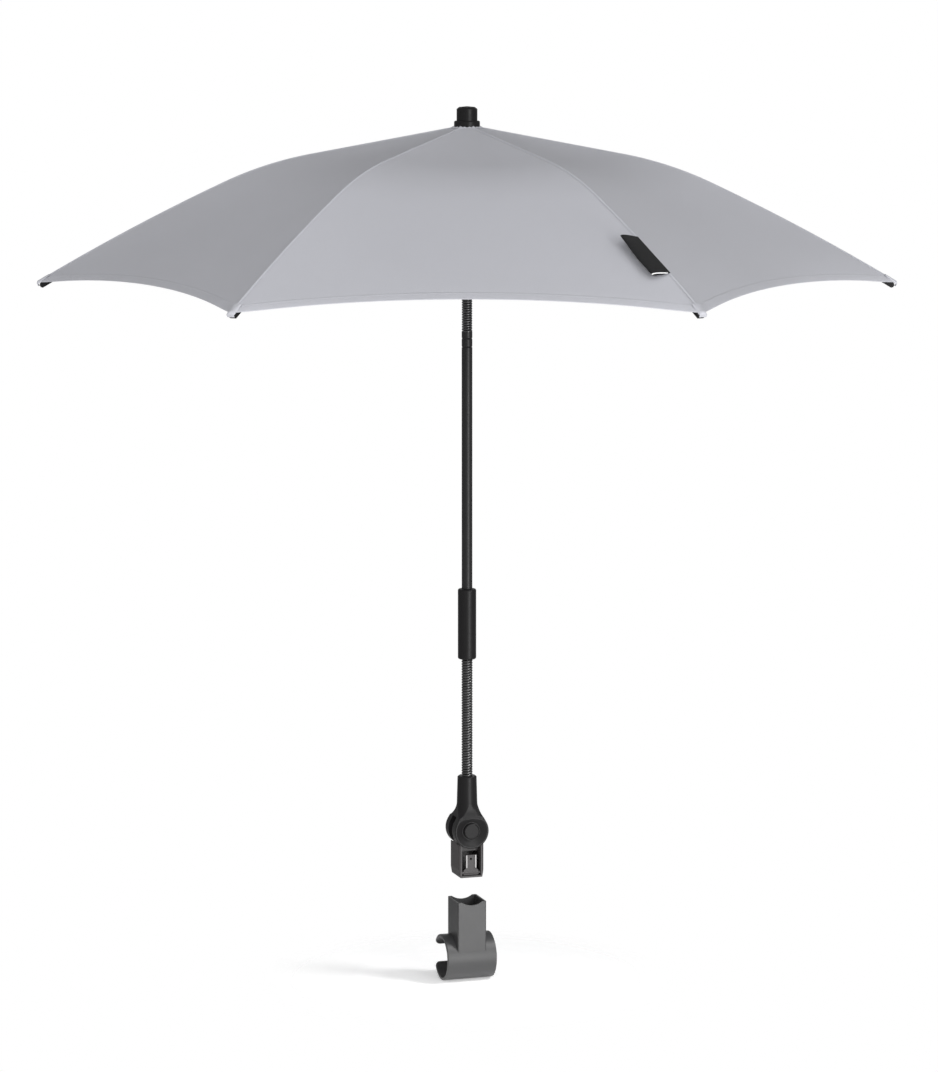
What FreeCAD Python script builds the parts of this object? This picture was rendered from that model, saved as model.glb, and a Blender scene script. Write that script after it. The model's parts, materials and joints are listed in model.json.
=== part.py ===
"""Clip-on pram parasol, modelled at rest: canopy open, plug lifted clear of the clip's socket.

Millimetres. The origin is the centre of the tube clip's bore, +X along the bore, +Z up, and the
closed side of the clip faces -Y. The stem stands a little in front of the bore axis.
"""
import FreeCAD
import Part
import Sketcher
import math
import os
from FreeCAD import Placement, Rotation, Vector

# Driving sizes: alias, value in millimetres, degrees or counts, meaning.
SIZES = [
    ("stem_offset", 4.5, "stem axis in front of the clip's bore axis"),
    ("running_gap", 0.05, "radial clearance of a pin in its hole"),
    ("sliding_gap", 0.3, "clearance between pieces that move past each other"),
    ("clip_bore_radius", 18.2, "tube that the clip snaps on to"),
    ("clip_wall", 2.7, "wall of the clip's ring"),
    ("clip_length", 46.5, "clip along the tube"),
    ("clip_mouth", 16.5, "clear gap between the clip's lips"),
    ("clip_corner", 4.5, "rounded corners of the clip's lips"),
    ("clip_round", 0.8, "rounded ends of the clip's ring"),
    ("post_width", 27.0, "socket post across the front"),
    ("post_depth", 30.0, "socket post from front to back"),
    ("post_wall", 1.5, "wall of the socket post"),
    ("post_height", 53.5, "top of the post above the bore axis"),
    ("post_corner", 1.2, "radius of the post's upright corners"),
    ("dip_depth", 3.1, "dip in the post's rim that takes the knuckle"),
    ("seat_gap", 0.5, "gap between the seated knuckle and the dip"),
    ("seat_travel", 51.3, "drop of the parasol from its lifted place to its seat"),
    ("socket_floor_gap", 0.6, "gap under the seated plug"),
    ("plug_height", 25.9, "slot piece below the knuckle"),
    ("plug_horn", 4.0, "sides of the slot piece up past the knuckle's foot"),
    ("plug_wall", 2.8, "side walls of the slot piece"),
    ("plug_roof", 3.0, "roof of the slot piece"),
    ("plug_bar", 1.6, "bar below the slot piece's window"),
    ("plug_taper_width", 1.6, "taper of the slot piece's lower corners, across"),
    ("plug_taper_height", 7.7, "taper of the slot piece's lower corners, up"),
    ("plug_corner", 2.0, "radius inside the socket's corners"),
    ("tang_depth", 10.0, "eye of the slot piece between the knuckle's cheeks"),
    ("tang_radius", 11.6, "round end of the eye"),
    ("latch_width", 10.0, "spring latch"),
    ("latch_base_width", 14.0, "foot of the spring latch"),
    ("latch_base_height", 4.0, "foot of the spring latch"),
    ("latch_height", 16.2, "spring latch from its trunnions to its tip"),
    ("latch_thickness", 1.8, "spring latch"),
    ("latch_rim", 1.6, "raised edges of the spring latch, across"),
    ("latch_rim_height", 0.7, "raised edges of the spring latch, forward"),
    ("latch_recess", 1.0, "raised edges behind the slot piece's front"),
    ("latch_hole_radius", 1.0, "catch hole in the spring latch"),
    ("latch_hole_drop", 3.6, "catch hole below the latch's tip"),
    ("trunnion_radius", 1.3, "pivots of the spring latch"),
    ("trunnion_recess", 0.5, "trunnion ends inside the slot piece's sides"),
    ("knuckle_radius", 15.9, "knuckle discs"),
    ("knuckle_depth", 29.0, "knuckle from front to back"),
    ("knuckle_lip", 1.6, "raised ring round the knuckle's face"),
    ("knuckle_recess", 2.2, "depth of the dish in the knuckle's face"),
    ("dish_floor", 0.9, "flat floor of the dish round the button"),
    ("knuckle_round", 0.7, "rounded edges of the knuckle discs"),
    ("flare_height", 25.0, "top of the fork's flare above the knuckle axis"),
    ("sweep_height", 10.0, "where the knuckle's face sweeps back to the barrel, above its axis"),
    ("sweep_round", 5.0, "rounded start of that sweep"),
    ("fork_height", 48.7, "top of the barrel above the knuckle axis"),
    ("barrel_top_radius", 8.6, "fork barrel at its top"),
    ("barrel_foot_radius", 9.2, "fork barrel at the flare"),
    ("barrel_chamfer", 1.0, "edge of the barrel's top"),
    ("pin_radius", 4.0, "knuckle pin"),
    ("rear_cap_radius", 8.0, "cover on the knuckle's back"),
    ("rear_cap_depth", 1.6, "cover on the knuckle's back"),
    ("button_radius", 7.5, "release button"),
    ("button_depth", 3.2, "release button from front to back"),
    ("button_proud", 0.2, "release button in front of the knuckle's ring"),
    ("button_round", 1.3, "rounded edge of the release button"),
    ("button_well", 5.4, "depth of the button's well below the knuckle's face"),
    ("button_spring_radius", 5.4, "button spring, middle of its wire"),
    ("button_spring_wire", 0.5, "wire of the button spring"),
    ("button_spring_turns", 2, "whole turns of the button spring"),
    ("lower_neck_length", 106.3, "lower gooseneck between fork and sleeve"),
    ("lower_neck_radius", 5.0, "lower gooseneck, outside"),
    ("lower_neck_wire", 1.85, "wire of the lower gooseneck"),
    ("lower_neck_turns", 41, "whole turns of the lower gooseneck"),
    ("upper_neck_length", 73.3, "upper gooseneck between shaft and mast"),
    ("upper_neck_wire", 1.6, "wire of the upper gooseneck"),
    ("upper_neck_turns", 31, "whole turns of the upper gooseneck"),
    ("core_gap", 0.65, "gap between a gooseneck's wire and its core"),
    ("core_socket", 18.0, "depth that a core is set into its holder"),
    ("sleeve_length", 63.5, "grip sleeve"),
    ("sleeve_radius", 8.2, "grip sleeve"),
    ("sleeve_round", 1.6, "rounded ends of the grip sleeve"),
    ("sleeve_socket", 48.0, "depth of the shaft in the grip sleeve"),
    ("shaft_length", 230.1, "shaft tube above the sleeve"),
    ("shaft_radius", 4.75, "shaft tube and mast, outside"),
    ("shaft_wall", 1.1, "shaft tube and mast"),
    ("crimp_depth", 0.45, "crimp grooves in the shaft's top"),
    ("crimp_width", 1.6, "crimp grooves in the shaft's top"),
    ("crimp_first", 6.2, "first crimp groove below the shaft's top"),
    ("crimp_second", 13.6, "second crimp groove below the shaft's top"),
    ("mast_length", 58.38, "mast from the upper gooseneck to the stretcher hinges"),
    ("mast_end", 15.0, "mast above the rib hinges, inside the cap"),
    ("crown_radius", 13.5, "slotted crown, and the runner's flange"),
    ("crown_depth", 6.5, "crown below the rib hinges"),
    ("hinge_radius", 9.0, "rib hinges from the stem axis"),
    ("hinge_pin_radius", 0.8, "hinge pins and rivets of the canopy frame"),
    ("hinge_pin_seat", 2.0, "hold of a hinge pin in each side of its slot"),
    ("slot_floor", 6.7, "inner end of the crown's and runner's slots from the stem axis"),
    ("rib_count", 6, "ribs, stretchers and gores"),
    ("canopy_turn", -78.0, "direction of the first rib round the stem"),
    ("rib_width", 2.4, "ribs across"),
    ("rib_height", 3.2, "ribs up"),
    ("arm_length", 130.0, "straight inner part of a rib"),
    ("arm_slope", 10.6, "fall of the straight part"),
    ("bend_length", 80.0, "bend of a rib, along it"),
    ("bend_turn", 14.5, "bend of a rib, in degrees"),
    ("outer_length", 183.0, "outer part of a rib, along it"),
    ("outer_turn", 5.5, "gentle bend of the outer part, in degrees"),
    ("tip_width", 5.0, "rib end caps across"),
    ("tip_hold", 10.0, "rib end cap over the rib"),
    ("tip_nose", 3.6, "rib end cap past the rib"),
    ("tip_drop", 2.4, "rib end cap below the rib"),
    ("tip_chamfer", 1.4, "corners of the rib end caps"),
    ("strut_margin", 6.0, "stretcher's joint short of the end of the rib's straight part"),
    ("strut_height", 3.0, "stretchers up"),
    ("strut_fork", 12.5, "length of a stretcher's fork"),
    ("strut_block", 6.0, "length of the block that holds the fork"),
    ("strut_cheek", 1.0, "thickness of the fork's cheeks"),
    ("rivet_head_radius", 1.5, "rivet heads"),
    ("rivet_head", 0.6, "rivet heads"),
    ("runner_rise", 4.5, "runner's flange above its hinge pins"),
    ("runner_flange", 10.5, "height of the runner's flange"),
    ("runner_neck_radius", 7.8, "runner below its flange"),
    ("runner_length", 34.0, "whole runner"),
    ("runner_collar_radius", 10.0, "grip collar at the runner's foot"),
    ("runner_collar", 5.0, "height of the grip collar"),
    ("runner_chamfer", 0.8, "edges of the runner"),
    ("catch_width", 2.0, "spring catch in the mast"),
    ("catch_nose", 1.6, "spring catch in front of the mast"),
    ("catch_length", 16.0, "sloping part of the spring catch"),
    ("catch_leg", 10.0, "leg of the spring catch inside the mast"),
    ("catch_thickness", 0.8, "leg of the spring catch"),
    ("cap_radius", 9.15, "tip cap"),
    ("cap_height", 10.4, "straight side of the tip cap above its collar"),
    ("cap_dome", 2.4, "domed top of the tip cap"),
    ("cap_crown_radius", 6.9, "flatter middle of the domed top"),
    ("cap_crown_rise", 1.7, "flatter middle of the domed top above the cap's side"),
    ("cap_collar_radius", 11.4, "collar of the tip cap"),
    ("cap_collar", 5.2, "height of the collar's side"),
    ("cap_edge", 0.8, "chamfers of the tip cap"),
    ("fabric_gap", 0.7, "fabric above the ribs"),
    ("fabric_thickness", 0.8, "fabric"),
    ("fabric_split", 0.3, "gap between neighbouring gores"),
    ("hem_scallop", 11.0, "hem drawn in at the middle of a panel"),
    ("hem_margin", 0.8, "hem's corner short of the rib's end"),
    ("tab_margin", 53.0, "fabric tab short of the rib's end"),
    ("tab_length", 56.0, "fabric tab along the seam"),
    ("tab_width", 16.0, "fabric tab across"),
    ("tab_thickness", 1.2, "folded fabric tab"),
    ("tab_lift", 24.0, "fabric tab off the panel, in degrees"),
]

# Places worked out from the sizes: alias, formula, meaning.
PLACES = [
    ("knuckle_seat", "Sizes.post_height - Sizes.dip_depth + Sizes.knuckle_radius + Sizes.seat_gap",
     "knuckle axis when seated"),
    ("knuckle", "knuckle_seat + Sizes.seat_travel", "knuckle axis at rest"),
    ("plug_roof_top", "knuckle - Sizes.knuckle_radius - Sizes.seat_gap", "slot piece under the knuckle"),
    ("plug_top", "plug_roof_top + Sizes.plug_horn", "top of the slot piece's sides"),
    ("plug_bottom", "plug_roof_top - Sizes.plug_height", "foot of the slot piece"),
    ("plug_width", "Sizes.post_width - 2 * Sizes.post_wall - 2 * Sizes.sliding_gap", "slot piece"),
    ("plug_depth", "Sizes.post_depth - 2 * Sizes.post_wall - 2 * Sizes.sliding_gap", "slot piece"),
    ("socket_floor", "plug_bottom - Sizes.seat_travel - Sizes.socket_floor_gap", "floor of the socket"),
    ("latch_axis", "plug_bottom + Sizes.plug_bar + Sizes.seat_gap + Sizes.latch_base_height / 2",
     "trunnions of the spring latch"),
    ("latch_front", "plug_depth / 2 - Sizes.latch_recess - Sizes.latch_rim_height",
     "front of the latch's plate, forward of the stem axis"),
    ("latch_middle", "latch_front - Sizes.latch_thickness / 2", "middle of the latch's plate"),
    ("slot_half", "Sizes.tang_depth / 2 + Sizes.sliding_gap", "half of the fork's slot"),
    ("knuckle_face", "Sizes.knuckle_depth / 2 - Sizes.knuckle_recess", "knuckle's face from the stem axis"),
    ("button_back", "Sizes.knuckle_depth / 2 + Sizes.button_proud - Sizes.button_depth",
     "back of the button from the stem axis"),
    ("well_floor", "knuckle_face - Sizes.button_well", "floor of the button's well"),
    ("flank_radius", "(pow(Sizes.barrel_foot_radius; 2) + pow(Sizes.flare_height; 2)"
     " - pow(Sizes.knuckle_radius; 2)) / (2 * (Sizes.knuckle_radius - Sizes.barrel_foot_radius))",
     "hollow curve of the fork's sides, tangent to disc and barrel"),
    ("flank_share", "Sizes.knuckle_radius / (Sizes.knuckle_radius + flank_radius)",
     "where that curve meets the disc, as a share of the way to its centre"),
    ("sweep_depth", "Sizes.knuckle_depth / 2 - Sizes.barrel_foot_radius", "sweep from front to back"),
    ("sweep_radius", "(pow(sweep_depth; 2) + pow(Sizes.flare_height - Sizes.sweep_height; 2))"
     " / (2 * sweep_depth)", "hollow curve of the sweep"),
    ("fork_top", "knuckle + Sizes.fork_height", "top of the barrel"),
    ("sleeve_bottom", "fork_top + Sizes.lower_neck_length", "foot of the sleeve"),
    ("sleeve_top", "sleeve_bottom + Sizes.sleeve_length", "top of the sleeve"),
    ("shaft_top", "sleeve_top + Sizes.shaft_length", "top of the shaft"),
    ("mast_bottom", "shaft_top + Sizes.upper_neck_length", "foot of the mast"),
    ("bore", "Sizes.shaft_radius + Sizes.sliding_gap", "radius of the runner's bore"),
    ("strut_arm", "Sizes.arm_length - Sizes.strut_margin",
     "stretcher length, and its joint's place along the rib"),
    ("runner_hinge", "mast_bottom + Sizes.mast_length", "stretcher hinges"),
    ("hinge", "runner_hinge + 2 * strut_arm * sin(Sizes.arm_slope)", "rib hinges"),
    ("runner_top", "runner_hinge + Sizes.runner_rise", "top of the runner"),
    ("runner_bottom", "runner_top - Sizes.runner_length", "foot of the runner"),
    ("slot_width", "Sizes.rib_width + 2 * Sizes.sliding_gap", "slots of the crown and the runner"),
    ("fabric_low", "Sizes.rib_height / 2 + Sizes.fabric_gap", "fabric's underside over a rib's middle"),
    ("fabric_high", "fabric_low + Sizes.fabric_thickness", "fabric's top over a rib's middle"),
    ("lower_core_radius", "Sizes.lower_neck_radius - Sizes.lower_neck_wire - Sizes.core_gap", "lower core"),
    ("upper_core_radius", "Sizes.shaft_radius - Sizes.upper_neck_wire - Sizes.core_gap", "upper core"),
]

doc = FreeCAD.newDocument("pram_parasol")
sizes = doc.addObject("Spreadsheet::Sheet", "Sizes")
places = doc.addObject("Spreadsheet::Sheet", "Places")
for row, (alias, number, meaning) in enumerate(SIZES, start=1):
    sizes.set(f"A{row}", meaning)
    sizes.set(f"B{row}", str(number))
    sizes.setAlias(f"B{row}", alias)
doc.recompute()
for row, (alias, formula, meaning) in enumerate(PLACES, start=1):
    places.set(f"A{row}", meaning)
    places.set(f"B{row}", "=" + formula)
    places.setAlias(f"B{row}", alias)
    places.recompute()

SIDEWAYS = Vector(0, 1, 0)
UP = Vector(0, 0, 1)
ORIGIN = Vector(0, 0, 0)
TOUCH = 0.01  # how near a point has to lie to count as the same
END_BEND = 1.1  # radius of the bend at a coil's ends, in wire diameters
parts = {}


def size(alias):
    return float(sizes.get(alias))


def place(alias):
    return float(places.get(alias))


def value(expression):
    found = sizes.evalExpression(expression)
    return float(getattr(found, "Value", found))


def keep(label, piece, turn=0.0, height=0.0):
    """Name a finished piece and stand it on the stem axis, turned about it and lifted."""
    piece.Label = label
    piece.Placement = Placement(Vector(0, -size("stem_offset"), height), Rotation(UP, turn))
    parts[label] = piece


def keep_shape(label, shape, turn=0.0, height=0.0):
    piece = doc.addObject("Part::Feature", label)
    piece.Shape = shape
    keep(label, piece, turn, height)


# Sketches and features


def sketch_on(body, role, lift=None):
    """An empty sketch on one of the body's origin planes, moved along the plane's normal by lift."""
    sketch = body.newObject("Sketcher::SketchObject", body.Name + "_sketch")
    plane = next(feature for feature in body.Origin.OriginFeatures if feature.Role == role)
    sketch.AttachmentSupport = [(plane, "")]
    sketch.MapMode = "FlatFace"
    if lift:
        sketch.setExpression("AttachmentOffset.Base.z", lift)
    return sketch


def bind_point(sketch, geometry, end, across, up):
    """Fix a point of the sketch at two expressions."""
    for kind, expression in (("DistanceX", across), ("DistanceY", up)):
        constraint = Sketcher.Constraint(kind, -1, 1, geometry, end, value(expression))
        index = sketch.addConstraint(constraint)
        sketch.setExpression(f"Constraints[{index}]", expression)


def draw_outline(sketch, corners):
    """A closed outline of straight lines through corners, each a pair of expressions."""
    points = [Vector(value(across), value(up), 0) for across, up in corners]
    first = sketch.GeometryCount
    count = len(points)
    for index, point in enumerate(points):
        sketch.addGeometry(Part.LineSegment(point, points[(index + 1) % count]), False)
    for index, (across, up) in enumerate(corners):
        following = first + (index + 1) % count
        sketch.addConstraint(Sketcher.Constraint("Coincident", first + index, 2, following, 1))
        bind_point(sketch, first + index, 1, across, up)


def draw_rectangle(sketch, low_across, high_across, low_up, high_up):
    draw_outline(sketch, [(low_across, low_up), (high_across, low_up), (high_across, high_up),
                          (low_across, high_up)])


def draw_circle(sketch, radius, across="0", up="0"):
    centre = Vector(value(across), value(up), 0)
    index = sketch.addGeometry(Part.Circle(centre, UP, value(radius)), False)
    bind_point(sketch, index, 3, across, up)
    constraint = sketch.addConstraint(Sketcher.Constraint("Radius", index, value(radius)))
    sketch.setExpression(f"Constraints[{constraint}]", radius)


def pad(body, sketch, length, symmetric=True):
    feature = body.newObject("PartDesign::Pad", body.Name + "_pad")
    feature.Profile = sketch
    feature.SideType = "Symmetric" if symmetric else "One side"
    feature.setExpression("Length", length)
    return feature


def pocket(body, sketch, length=None, reverse=False):
    """Cut the sketch out, right through both ways or to a length behind the sketch's plane."""
    doc.recompute()
    before = body.Shape.Volume
    feature = body.newObject("PartDesign::Pocket", body.Name + "_pocket")
    feature.Profile = sketch
    feature.Reversed = reverse
    if length:
        feature.setExpression("Length", length)
    else:
        feature.Type = "ThroughAll"
        feature.SideType = "Symmetric"
    doc.recompute()
    if not body.Shape.Volume < before:
        raise ValueError(f"a pocket of {body.Name} cuts nothing")
    return feature


def revolve(body, corners):
    """Turn an outline of radius and height pairs round the stem axis."""
    sketch = sketch_on(body, "XZ_Plane")
    draw_outline(sketch, corners)
    feature = body.newObject("PartDesign::Revolution", body.Name + "_turned")
    feature.Profile = sketch
    feature.ReferenceAxis = (sketch, ["V_Axis"])
    feature.Angle = 360
    return feature


def turned_cut(body, sketch, axis):
    """Cut the sketch out all the way round one of its own axes."""
    feature = body.newObject("PartDesign::Groove", body.Name + "_groove")
    feature.Profile = sketch
    feature.ReferenceAxis = (sketch, [axis])
    feature.Angle = 360


def spread_round(body, feature):
    """Repeat a cut at every rib."""
    pattern = body.newObject("PartDesign::PolarPattern", body.Name + "_pattern")
    pattern.Originals = [feature]
    axis = next(line for line in body.Origin.OriginFeatures if line.Role == "Z_Axis")
    pattern.Axis = (axis, [""])
    pattern.Angle = 360
    pattern.setExpression("Occurrences", "Sizes.rib_count")
    body.Tip = pattern


def round_edges(body, radius, wanted):
    """Fillet the edges of the body's last feature that wanted picks."""
    doc.recompute()
    base = body.Tip
    names = [f"Edge{index}" for index, edge in enumerate(base.Shape.Edges, start=1) if wanted(edge)]
    fillet = body.newObject("PartDesign::Fillet", body.Name + "_round")
    fillet.Base = (base, names)
    fillet.setExpression("Radius", radius)


def new_body(name):
    return doc.addObject("PartDesign::Body", name)


def is_upright(edge):
    direction = edge.tangentAt(edge.FirstParameter)
    return isinstance(edge.Curve, Part.Line) and abs(direction.z) > 0.999


# Clip and plug


def make_clip():
    body = new_body("clip")
    ring = sketch_on(body, "YZ_Plane")
    draw_circle(ring, "Sizes.clip_bore_radius + Sizes.clip_wall")
    pad(body, ring, "Sizes.clip_length")
    back = "Sizes.post_depth / 2 - Sizes.stem_offset"
    front = "-Sizes.stem_offset - Sizes.post_depth / 2"
    post = sketch_on(body, "XY_Plane")
    draw_rectangle(post, "-Sizes.post_width / 2", "Sizes.post_width / 2", front, back)
    pad(body, post, "Sizes.post_height", symmetric=False)
    round_edges(body, "Sizes.post_corner", is_upright)

    bore = sketch_on(body, "YZ_Plane")
    draw_circle(bore, "Sizes.clip_bore_radius")
    pocket(body, bore)

    mouth = sketch_on(body, "YZ_Plane")
    draw_rectangle(mouth, "0", "2 * Sizes.clip_bore_radius", "-Sizes.clip_mouth / 2", "Sizes.clip_mouth / 2")
    pocket(body, mouth)
    end = size("clip_length") / 2
    lip = size("clip_mouth") / 2
    round_edges(body, "Sizes.clip_corner", lambda edge: abs(abs(edge.CenterOfMass.x) - end) < TOUCH
                and abs(abs(edge.CenterOfMass.z) - lip) < TOUCH and edge.BoundBox.ZLength < TOUCH)

    socket = sketch_on(body, "XY_Plane", "Sizes.post_height")
    wall = "Sizes.post_wall"
    draw_rectangle(socket, f"-Sizes.post_width / 2 + {wall}", f"Sizes.post_width / 2 - {wall}",
                   f"{front} + {wall}", f"{back} - {wall}")
    pocket(body, socket, "Sizes.post_height - Places.socket_floor")
    dip = sketch_on(body, "XZ_Plane")
    draw_circle(dip, "Sizes.knuckle_radius + Sizes.seat_gap", "0", "Places.knuckle_seat")
    pocket(body, dip)
    round_edges(body, "Sizes.clip_round", lambda edge: abs(abs(edge.CenterOfMass.x) - end) < TOUCH
                and isinstance(edge.Curve, Part.Circle))
    body.Label = "clip"
    parts["clip"] = body


def make_plug():
    body = new_body("plug")
    half = "Places.plug_width / 2"
    frame = sketch_on(body, "XZ_Plane")
    taper_top = "Places.plug_bottom + Sizes.plug_taper_height"
    draw_outline(frame, [(f"-{half} + Sizes.plug_taper_width", "Places.plug_bottom"),
                         (f"{half} - Sizes.plug_taper_width", "Places.plug_bottom"),
                         (half, taper_top), (half, "Places.plug_top"),
                         (f"-{half}", "Places.plug_top"), (f"-{half}", taper_top)])
    pad(body, frame, "Places.plug_depth")
    round_edges(body, "Sizes.plug_corner", is_upright)
    scoop = sketch_on(body, "XZ_Plane")
    draw_circle(scoop, "Sizes.knuckle_radius + Sizes.seat_gap", "0", "Places.knuckle")
    pocket(body, scoop)

    ceiling = "(Places.plug_roof_top - Sizes.plug_roof)"
    neck = sketch_on(body, "XZ_Plane")
    draw_rectangle(neck, "-Sizes.tang_radius", "Sizes.tang_radius", ceiling, "Places.knuckle")
    pad(body, neck, "Sizes.tang_depth")
    eye = sketch_on(body, "XZ_Plane")
    draw_circle(eye, "Sizes.tang_radius", "0", "Places.knuckle")
    pad(body, eye, "Sizes.tang_depth")

    window = sketch_on(body, "XZ_Plane", "Places.plug_depth / 2")
    inside = f"{half} - Sizes.plug_wall"
    draw_rectangle(window, f"-({inside})", inside, "Places.plug_bottom + Sizes.plug_bar", ceiling)
    pocket(body, window, "Places.plug_depth - Sizes.plug_wall")
    front = sketch_on(body, "XZ_Plane", "Places.plug_depth / 2")
    draw_rectangle(front, f"-({inside})", inside, ceiling, "Places.plug_top")
    pocket(body, front, "Places.plug_depth / 2 - Sizes.tang_depth / 2")
    trunnions = sketch_on(body, "YZ_Plane")
    draw_circle(trunnions, "Sizes.trunnion_radius + Sizes.running_gap", "-Places.latch_middle",
                "Places.latch_axis")
    pocket(body, trunnions)
    pin = sketch_on(body, "XZ_Plane")
    draw_circle(pin, "Sizes.pin_radius + Sizes.running_gap", "0", "Places.knuckle")
    pocket(body, pin)
    keep("plug", body)


def make_latch_tongue():
    body = new_body("latch_tongue")
    low = "Places.latch_axis - Sizes.latch_base_height / 2"
    shoulder = "Places.latch_axis + Sizes.latch_base_height / 2"
    top = "Places.latch_axis + Sizes.latch_height"
    base = "Sizes.latch_base_width / 2"
    half = "Sizes.latch_width / 2"
    plate = sketch_on(body, "XZ_Plane", "Places.latch_front")
    draw_outline(plate, [(f"-{base}", low), (base, low), (base, shoulder),
                         (half, f"{shoulder} + {base} - {half}"), (half, top), (f"-{half}", top),
                         (f"-{half}", f"{shoulder} + {base} - {half}"), (f"-{base}", shoulder)])
    pad(body, plate, "Sizes.latch_thickness", symmetric=False).Reversed = True
    rims = sketch_on(body, "XZ_Plane", "Places.latch_front")
    rim_foot = f"{shoulder} + {base} - {half}"
    draw_rectangle(rims, f"-{half}", f"-{half} + Sizes.latch_rim", rim_foot, top)
    draw_rectangle(rims, f"{half} - Sizes.latch_rim", half, rim_foot, top)
    pad(body, rims, "Sizes.latch_rim_height", symmetric=False)
    trunnions = sketch_on(body, "YZ_Plane")
    draw_circle(trunnions, "Sizes.trunnion_radius", "-Places.latch_middle", "Places.latch_axis")
    pad(body, trunnions, "Places.plug_width - 2 * Sizes.trunnion_recess")
    hole = sketch_on(body, "XZ_Plane")
    draw_circle(hole, "Sizes.latch_hole_radius", "0", f"{top} - Sizes.latch_hole_drop")
    pocket(body, hole)
    keep("latch_tongue", body)


# Knuckle and fork


def make_fork():
    body = new_body("fork")
    flare_top = "(Places.knuckle + Sizes.flare_height)"
    chamfer = "Sizes.barrel_chamfer"
    revolve(body, [("0", "Places.knuckle"), ("Sizes.barrel_foot_radius", "Places.knuckle"),
                   ("Sizes.barrel_foot_radius", flare_top),
                   ("Sizes.barrel_top_radius", f"Places.fork_top - {chamfer}"),
                   (f"Sizes.barrel_top_radius - {chamfer}", "Places.fork_top"), ("0", "Places.fork_top")])
    discs = sketch_on(body, "XZ_Plane")
    draw_circle(discs, "Sizes.knuckle_radius", "0", "Places.knuckle")
    pad(body, discs, "Sizes.knuckle_depth")
    flank_centre = "(Sizes.barrel_foot_radius + Places.flank_radius)"
    side = f"{flank_centre} * Places.flank_share"
    rise = "Places.knuckle + Sizes.flare_height * Places.flank_share"
    flare = sketch_on(body, "XZ_Plane")
    draw_outline(flare, [(f"-{side}", rise), (side, rise), ("Sizes.barrel_foot_radius", flare_top),
                         ("-Sizes.barrel_foot_radius", flare_top)])
    pad(body, flare, "Sizes.knuckle_depth")

    flanks = sketch_on(body, "XZ_Plane")
    sweeps = sketch_on(body, "YZ_Plane")
    for way in ("", "-"):
        draw_circle(flanks, "Places.flank_radius", f"{way}{flank_centre}", flare_top)
        draw_circle(sweeps, "Places.sweep_radius",
                    f"{way}(Sizes.barrel_foot_radius + Places.sweep_radius)", flare_top)
    pocket(body, flanks)
    pocket(body, sweeps)
    outer = "Sizes.knuckle_depth / 2"
    reach = size("knuckle_depth") / 2
    crease = place("knuckle") + size("sweep_height")
    round_edges(body, "Sizes.sweep_round", lambda edge: abs(abs(edge.CenterOfMass.y) - reach) < TOUCH
                and abs(edge.CenterOfMass.z - crease) < TOUCH and edge.BoundBox.ZLength < TOUCH)
    waist = sketch_on(body, "XZ_Plane")
    waist_radius = "(Sizes.flare_height - Sizes.sweep_height)"
    draw_circle(waist, waist_radius, f"Sizes.barrel_foot_radius + {waist_radius}", flare_top)
    turned_cut(body, waist, "V_Axis")
    slot = sketch_on(body, "YZ_Plane")
    draw_rectangle(slot, "-Places.slot_half", "Places.slot_half",
                   "Places.knuckle - 2 * Sizes.knuckle_radius",
                   "Places.knuckle + Sizes.tang_radius + Sizes.seat_gap")
    pocket(body, slot)

    pin = sketch_on(body, "XZ_Plane")
    draw_circle(pin, "Sizes.pin_radius", "0", "Places.knuckle")
    pocket(body, pin)
    dish = sketch_on(body, "YZ_Plane")
    dish.setExpression("AttachmentOffset.Base.y", "Places.knuckle")
    rim = "Sizes.knuckle_radius - Sizes.knuckle_lip"
    draw_outline(dish, [(f"-{outer} * 2", "0"), ("-Places.knuckle_face", "0"),
                        ("-Places.knuckle_face", "Sizes.button_radius + Sizes.dish_floor"),
                        (f"-{outer}", rim), (f"-{outer} * 2", rim)])
    turned_cut(body, dish, "H_Axis")
    well = sketch_on(body, "XZ_Plane", "Places.knuckle_face")
    draw_circle(well, "Sizes.button_radius + Sizes.running_gap", "0", "Places.knuckle")
    pocket(body, well, "Sizes.button_well")
    rear = sketch_on(body, "XZ_Plane", f"-{outer}")
    draw_circle(rear, "Sizes.rear_cap_radius", "0", "Places.knuckle")
    pocket(body, rear, "Sizes.rear_cap_depth", reverse=True)
    socket = sketch_on(body, "XY_Plane", "Places.fork_top")
    draw_circle(socket, "Places.lower_core_radius")
    pocket(body, socket, "Sizes.core_socket")
    rims = (size("knuckle_radius"), size("knuckle_radius") - size("knuckle_lip"))
    round_edges(body, "Sizes.knuckle_round", lambda edge: isinstance(edge.Curve, Part.Circle)
                and abs(abs(edge.CenterOfMass.y) - reach) < TOUCH
                and any(abs(edge.Curve.Radius - rim) < TOUCH for rim in rims))
    keep("fork", body)


def make_round_piece(name, radius, front, length):
    """A plain round piece on the knuckle axis, from front back over length."""
    body = new_body(name)
    sketch = sketch_on(body, "XZ_Plane", front)
    draw_circle(sketch, radius, "0", "Places.knuckle")
    pad(body, sketch, length, symmetric=False).Reversed = True
    keep(name, body)
    return body


def make_knuckle_pieces():
    rear_floor = "(Sizes.knuckle_depth / 2 - Sizes.rear_cap_depth)"
    make_round_piece("pivot_pin", "Sizes.pin_radius", "Places.well_floor",
                     f"Places.well_floor + {rear_floor}")
    make_round_piece("rear_cap", "Sizes.rear_cap_radius", f"-{rear_floor}", "Sizes.rear_cap_depth")
    button = make_round_piece("release_button", "Sizes.button_radius",
                              "Places.button_back + Sizes.button_depth", "Sizes.button_depth")
    front = -(place("button_back") + size("button_depth"))
    round_edges(button, "Sizes.button_round",
                lambda edge: abs(edge.BoundBox.YMin - front) < TOUCH
                and abs(edge.BoundBox.YMax - front) < TOUCH)


# Wound pieces


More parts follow.
